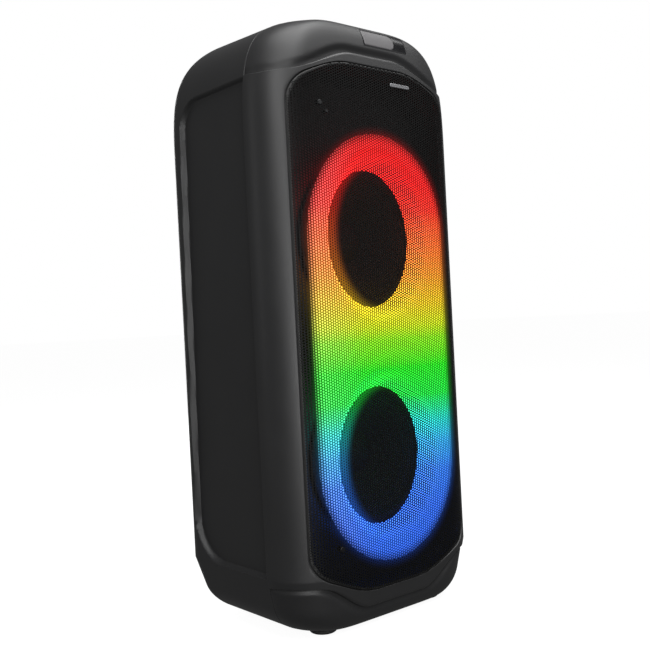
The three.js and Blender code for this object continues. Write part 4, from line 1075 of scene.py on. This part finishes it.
# Heights in millimetres and the colour of the lit panel there, as shares of full red, green and blue.
LIGHT_COLOURS = [
    (63, (0.15, 0.34, 0.80)), (110, (0.16, 0.36, 0.81)), (146, (0.17, 0.42, 0.82)),
    (176, (0.17, 0.58, 0.80)), (196, (0.12, 0.72, 0.70)), (212, (0.10, 0.76, 0.46)),
    (226, (0.08, 0.79, 0.22)), (257, (0.12, 0.80, 0.08)), (287, (0.46, 0.78, 0.05)),
    (301, (0.68, 0.76, 0.06)), (325, (0.80, 0.66, 0.08)), (354, (0.84, 0.50, 0.12)),
    (383, (0.87, 0.38, 0.14)), (422, (0.87, 0.16, 0.10)), (450, (0.86, 0.04, 0.05)),
    (497, (0.83, 0.03, 0.04)),
]
LIGHT_LOW, LIGHT_HIGH = LIGHT_COLOURS[0][0], LIGHT_COLOURS[-1][0]
LIGHT_GAIN, LIGHT_GAMMA = 1.9, 2.2
LAMP_PITCH = 0.025


def light_colour(f):
    """The lit panel's colour at each height."""
    span = LIGHT_HIGH - LIGHT_LOW
    stops = [((z - LIGHT_LOW) / span, tuple(LIGHT_GAIN * share ** LIGHT_GAMMA for share in colour))
             for z, colour in LIGHT_COLOURS]
    height = ((f.z - LIGHT_LOW / 1000) / (span / 1000)).clamp(0, 1)
    return f.node("ShaderNodeValToRGB", {"stops": stops}, height, out="Color")


def light_share(f):
    """0 in the panel's middle and 1 on its outline: straight sides with half-ellipse ends."""
    end = ((f.z - MIDDLE / 1000).size() - LIGHT_STRAIGHT / 1000).clamp(0, 1)
    return ((f.x / (LIGHT_HALF / 1000)) ** 2.0 + (end / (LIGHT_END / 1000)) ** 2.0) ** 0.5


def light_diffuser():
    """The lit diffuser: colours blend upward from blue through green and yellow to red, a little brighter
    over each lamp, paler toward the left, brighter in the dishes and dimmer at the outline."""
    f = Finish("light_diffuser")
    lamps = ((f.z * (2 * math.pi / LAMP_PITCH)).sine() * 0.5 + 0.5) * (f.x.size().step(0.070, 0.09))
    pale = f.x.step(-0.088, -0.02, 0.11, 0.02)
    colour = f.mix(pale, light_colour(f), (1.0, 1.0, 1.0))
    dish = f.y.step(-0.0965, -0.088)
    grain = f.noise(420, 3.0)
    dim = 1 - light_share(f).step(0.90, 1.01) * 0.7
    bright = (0.98 + lamps * 0.12 + (grain - 0.5) * 0.12 + dish * 0.5) * dim
    shade = f.node("ShaderNodeVectorMath", {"operation": "SCALE"}, colour, Scale=bright)
    return f.finish(Base_Color=(0.05, 0.05, 0.052), Roughness=(0.35 + grain * 0.15), Emission_Color=shade,
                    Emission_Strength=1.55, Normal=f.bump(grain, 0.1, 0.0002))


def grille_steel_painted_light():
    """Powder-coated steel with the panel's light painted onto it as emission: full over the panel, dying
    away outside its outline and inside the dark ovals."""
    f = Finish("grille_steel_painted_light")
    peel = f.noise(1300, 2.0) + f.noise(3000, 1.0) * 0.4
    painted_light_share = 1 - light_share(f).step(0.88, 1.11)
    for centre in WOOFERS.values():
        across, along = f.x / (DISH_X / 1000), (f.z - centre / 1000) / (DISH_Z / 1000)
        painted_light_share = painted_light_share * ((across ** 2.0 + along ** 2.0) ** 0.5).step(0.93, 1.17)
    # painted light: the panel's colour given to the steel as emission, for the panel's light falling on
    # the grille
    shade = f.node("ShaderNodeVectorMath", {"operation": "SCALE"}, light_colour(f), Scale=(painted_light_share ** 1.6))
    roughness = (0.46 + (f.noise(80, 3.0) - 0.5) * 0.15).clamp(0.1, 0.9)
    return f.finish(Base_Color=f.mix(f.noise(500, 2.0), (0.0015, 0.0015, 0.0015), (0.004, 0.004, 0.004)),
                    Roughness=roughness, Normal=f.bump(peel, 0.25, 0.00008), Specular_IOR_Level=0.12,
                    Emission_Color=shade, Emission_Strength=0.26)


def stage_floor():
    """A plain pale floor, bright enough to meet the white backdrop."""
    f = Finish("stage_floor")
    tone = f.noise(3.0, 3.0)
    return f.finish(Base_Color=f.mix(tone, (0.10, 0.10, 0.10), (0.12, 0.12, 0.12)),
                    Roughness=(0.7 + tone * 0.1), Emission_Color=(1.0, 1.0, 1.0), Emission_Strength=0.95)


# Building ------------------------------------------------------------------------------------------

looks = {
    "shell": moulded("shell_plastic", (0.0085, 0.0085, 0.009), (0.014, 0.014, 0.0145), 0.46),
    "frame": moulded("frame_plastic", (0.010, 0.010, 0.0105), (0.016, 0.016, 0.0165), 0.40),
    # painted light: the grille's steel carries the panel's light as emission
    "grille": grille_steel_painted_light(),
    "border": painted_steel("grille_rim", (0.004, 0.004, 0.004), (0.008, 0.008, 0.008), 0.5),
    "badge": brushed_metal("badge_metal", (0.26, 0.26, 0.27), 0.38),
    # painted light: grey for the lit far wall in the display window
    "display": moulded("painted_lit_wall_plastic", (0.060, 0.058, 0.060), (0.085, 0.082, 0.085), 0.5, 0.3),
    "bright": brushed_metal("bright_metal", (0.66, 0.66, 0.67), 0.22),
    "steel": painted_steel("basket_steel", (0.010, 0.010, 0.011), (0.02, 0.02, 0.02), 0.45),
    "magnet": painted_steel("magnet_black", (0.02, 0.02, 0.022), (0.04, 0.04, 0.04), 0.5),
    "screw": brushed_metal("screw_steel", (0.25, 0.25, 0.26), 0.35),
    "rubber": soft_rubber("soft_rubber", (0.006, 0.006, 0.006), (0.014, 0.014, 0.014)),
    "socket": soft_rubber("socket_plastic", (0.008, 0.008, 0.009), (0.016, 0.016, 0.017)),
    "gloss": gloss_black("gloss_trim"),
    "smoked": gloss_black("smoked_window", 0.15),
    "paper": cone_paper(),
    "spider": spider_cloth(),
    "board": circuit_board(),
    "battery": battery_wrap(),
    "light": light_diffuser(),
}

front_frame(looks["frame"])
front_cap(looks["shell"])
front_base(looks["shell"])
rear_shell(looks["shell"])
perforated_sheet(looks["grille"])
grille_border(looks["border"])
badge_bar(looks["badge"])
for name, (x, z, radius) in LENSES.items():
    indicator_lens(name, x, z, radius, looks["smoked"])
light_half("light_panel_upper", 1, looks["light"], nodes=["light_panel"], slot="light_diffuser")
light_half("light_panel_lower", -1, looks["light"], slot="light_diffuser")
for position in WOOFERS:
    woofer(position, looks)
display_window(looks["smoked"], looks["display"])
deck_trim(looks["frame"])
socket_trim(looks["frame"])
bass_port(looks["socket"])
volume_knob(looks["frame"])
knob_mark(looks["bright"])
for number, x in enumerate(KEY_X, 1):
    key_cap(number, x, looks["rubber"])
for name, (x, flange, bore) in JACKS.items():
    jack(name, x, JACK_Z, flange, bore, looks["bright"])
for name, x in TRIM_KNOBS.items():
    trim_knob(name, x, TRIM_KNOB_Z, looks["frame"])
for name, (x, y) in FEET.items():
    foot(name, x, y, looks["rubber"])


def dress(node, material, bevel=0.0):
    """A CAD node keeps its shape and takes a finish; a bevel rounds the edges of its boxes."""
    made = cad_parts[node]
    made.data.materials.clear()
    made.data.materials.append(material)
    if bevel:
        weld = made.modifiers.new("weld", "WELD")
        weld.merge_threshold = 1e-5
        edge = made.modifiers.new("edge", "BEVEL")
        edge.width, edge.segments, edge.limit_method = bevel / 1000, 2, "ANGLE"
        edge.angle_limit = math.radians(40)


dressed = {
    "control_plate": ("gloss", 0.25), "io_plate": ("gloss", 0.25), "mains_inlet": ("socket", 0.4),
    "switch_frame": ("socket", 0.4), "power_rocker": ("gloss", 0.4), "usb_port": ("bright", 0.15),
    "control_board": ("board", 0), "led_board": ("board", 0), "amplifier_board": ("board", 0),
    "power_supply": ("bright", 0.4), "battery_pack": ("battery", 0),
    **{f"rear_screw_{n}": ("screw", 0) for n in range(1, 7)},
    **{f"{side}_{part}": (look, 0) for side in WOOFERS
       for part, look in (("basket", "steel"), ("magnet", "magnet"), ("spider", "spider"))},
}
for node, (look, bevel) in dressed.items():
    dress(node, looks[look], bevel)
baffle(looks["shell"])


# Stage -----------------------------------------------------------------------------------------------

def floor():
    """A wide flat floor."""
    mesh = bpy.data.meshes.new("floor")
    mesh.from_pydata([(-40, -40, 0), (40, -40, 0), (40, 40, 0), (-40, 40, 0)], [], [(0, 1, 2, 3)])
    made = bpy.data.objects.new("floor", mesh)
    mesh.materials.append(stage_floor())
    made.visible_diffuse = False
    made.visible_glossy = False
    bpy.context.scene.collection.objects.link(made)


def softbox(name, place, aim, size, power):
    """A rectangular white light at a place, turned to face what it is aimed at."""
    light = bpy.data.lights.new(name, "AREA")
    light.shape = "RECTANGLE"
    light.size, light.size_y = size
    light.energy = power
    made = bpy.data.objects.new(name, light)
    made.location = place
    made.rotation_mode = "QUATERNION"
    made.rotation_quaternion = (Vector(aim) - Vector(place)).to_track_quat("-Z", "Y")
    bpy.context.scene.collection.objects.link(made)


def white_studio(room_light):
    """A world that is pure white to the camera and gives the object a dim even light."""
    world = bpy.data.worlds.new("studio")
    bpy.context.scene.world = world
    world.use_nodes = True
    nodes, links = world.node_tree.nodes, world.node_tree.links
    backdrop = nodes["Background"]
    backdrop.inputs["Color"].default_value = (1, 1, 1, 1)
    backdrop.inputs["Strength"].default_value = 1.0
    room = nodes.new("ShaderNodeBackground")
    room.inputs["Color"].default_value = (1, 1, 1, 1)
    room.inputs["Strength"].default_value = room_light
    path = nodes.new("ShaderNodeLightPath")
    choice = nodes.new("ShaderNodeMixShader")
    links.new(path.outputs["Is Camera Ray"], choice.inputs[0])
    links.new(room.outputs[0], choice.inputs[1])
    links.new(backdrop.outputs[0], choice.inputs[2])
    links.new(choice.outputs[0], nodes["World Output"].inputs[0])


def place_camera(location, right, up, back, focal_length):
    """The camera at a location, with its own right, up and back directions."""
    lens = bpy.data.cameras.new("camera")
    lens.lens, lens.sensor_width = focal_length, 36.0
    camera = bpy.data.objects.new("camera", lens)
    turn = Matrix((right, up, back)).transposed().to_4x4()
    camera.matrix_world = Matrix.Translation(location) @ turn
    bpy.context.scene.collection.objects.link(camera)
    bpy.context.scene.camera = camera


floor()
softbox("top_box", (-0.2, -0.5, 2.3), (0, 0, 0.5), (1.6, 1.2), 38)
softbox("left_box", (-2.6, 0.9, 1.0), (-0.1, 0.05, 0.35), (0.35, 1.6), 3)
softbox("key_left", (-1.9, -1.5, 1.6), (0, -0.05, 0.4), (0.9, 1.2), 17)
softbox("key_right", (1.6, -1.9, 1.5), (0, -0.05, 0.4), (0.9, 1.2), 6.5)
softbox("high_right", (0.9, -0.6, 2.2), (0, -0.05, 0.55), (1.0, 1.0), 16)
softbox("over_front", (-0.3, -1.6, 2.2), (0, -0.05, 0.5), (1.4, 0.8), 26)
softbox("low_front", (-0.9, -2.0, 0.25), (0, -0.05, 0.2), (1.2, 0.4), 15)
softbox("near_front", (-1.7, -1.9, 0.8), (0, -0.05, 0.35), (0.5, 1.6), 9)
softbox("back_box", (0.7, 2.0, 0.7), (0, 0.1, 0.35), (0.8, 1.2), 14)
white_studio(0.17)
bpy.context.scene.view_settings.view_transform = "Standard"
place_camera((-0.6303, -0.7473, 0.3087), (0.76268, -0.64471, -0.05165), (0.04196, -0.03037, 0.99866),
             (-0.64541, -0.76383, 0.00389), 48.91)
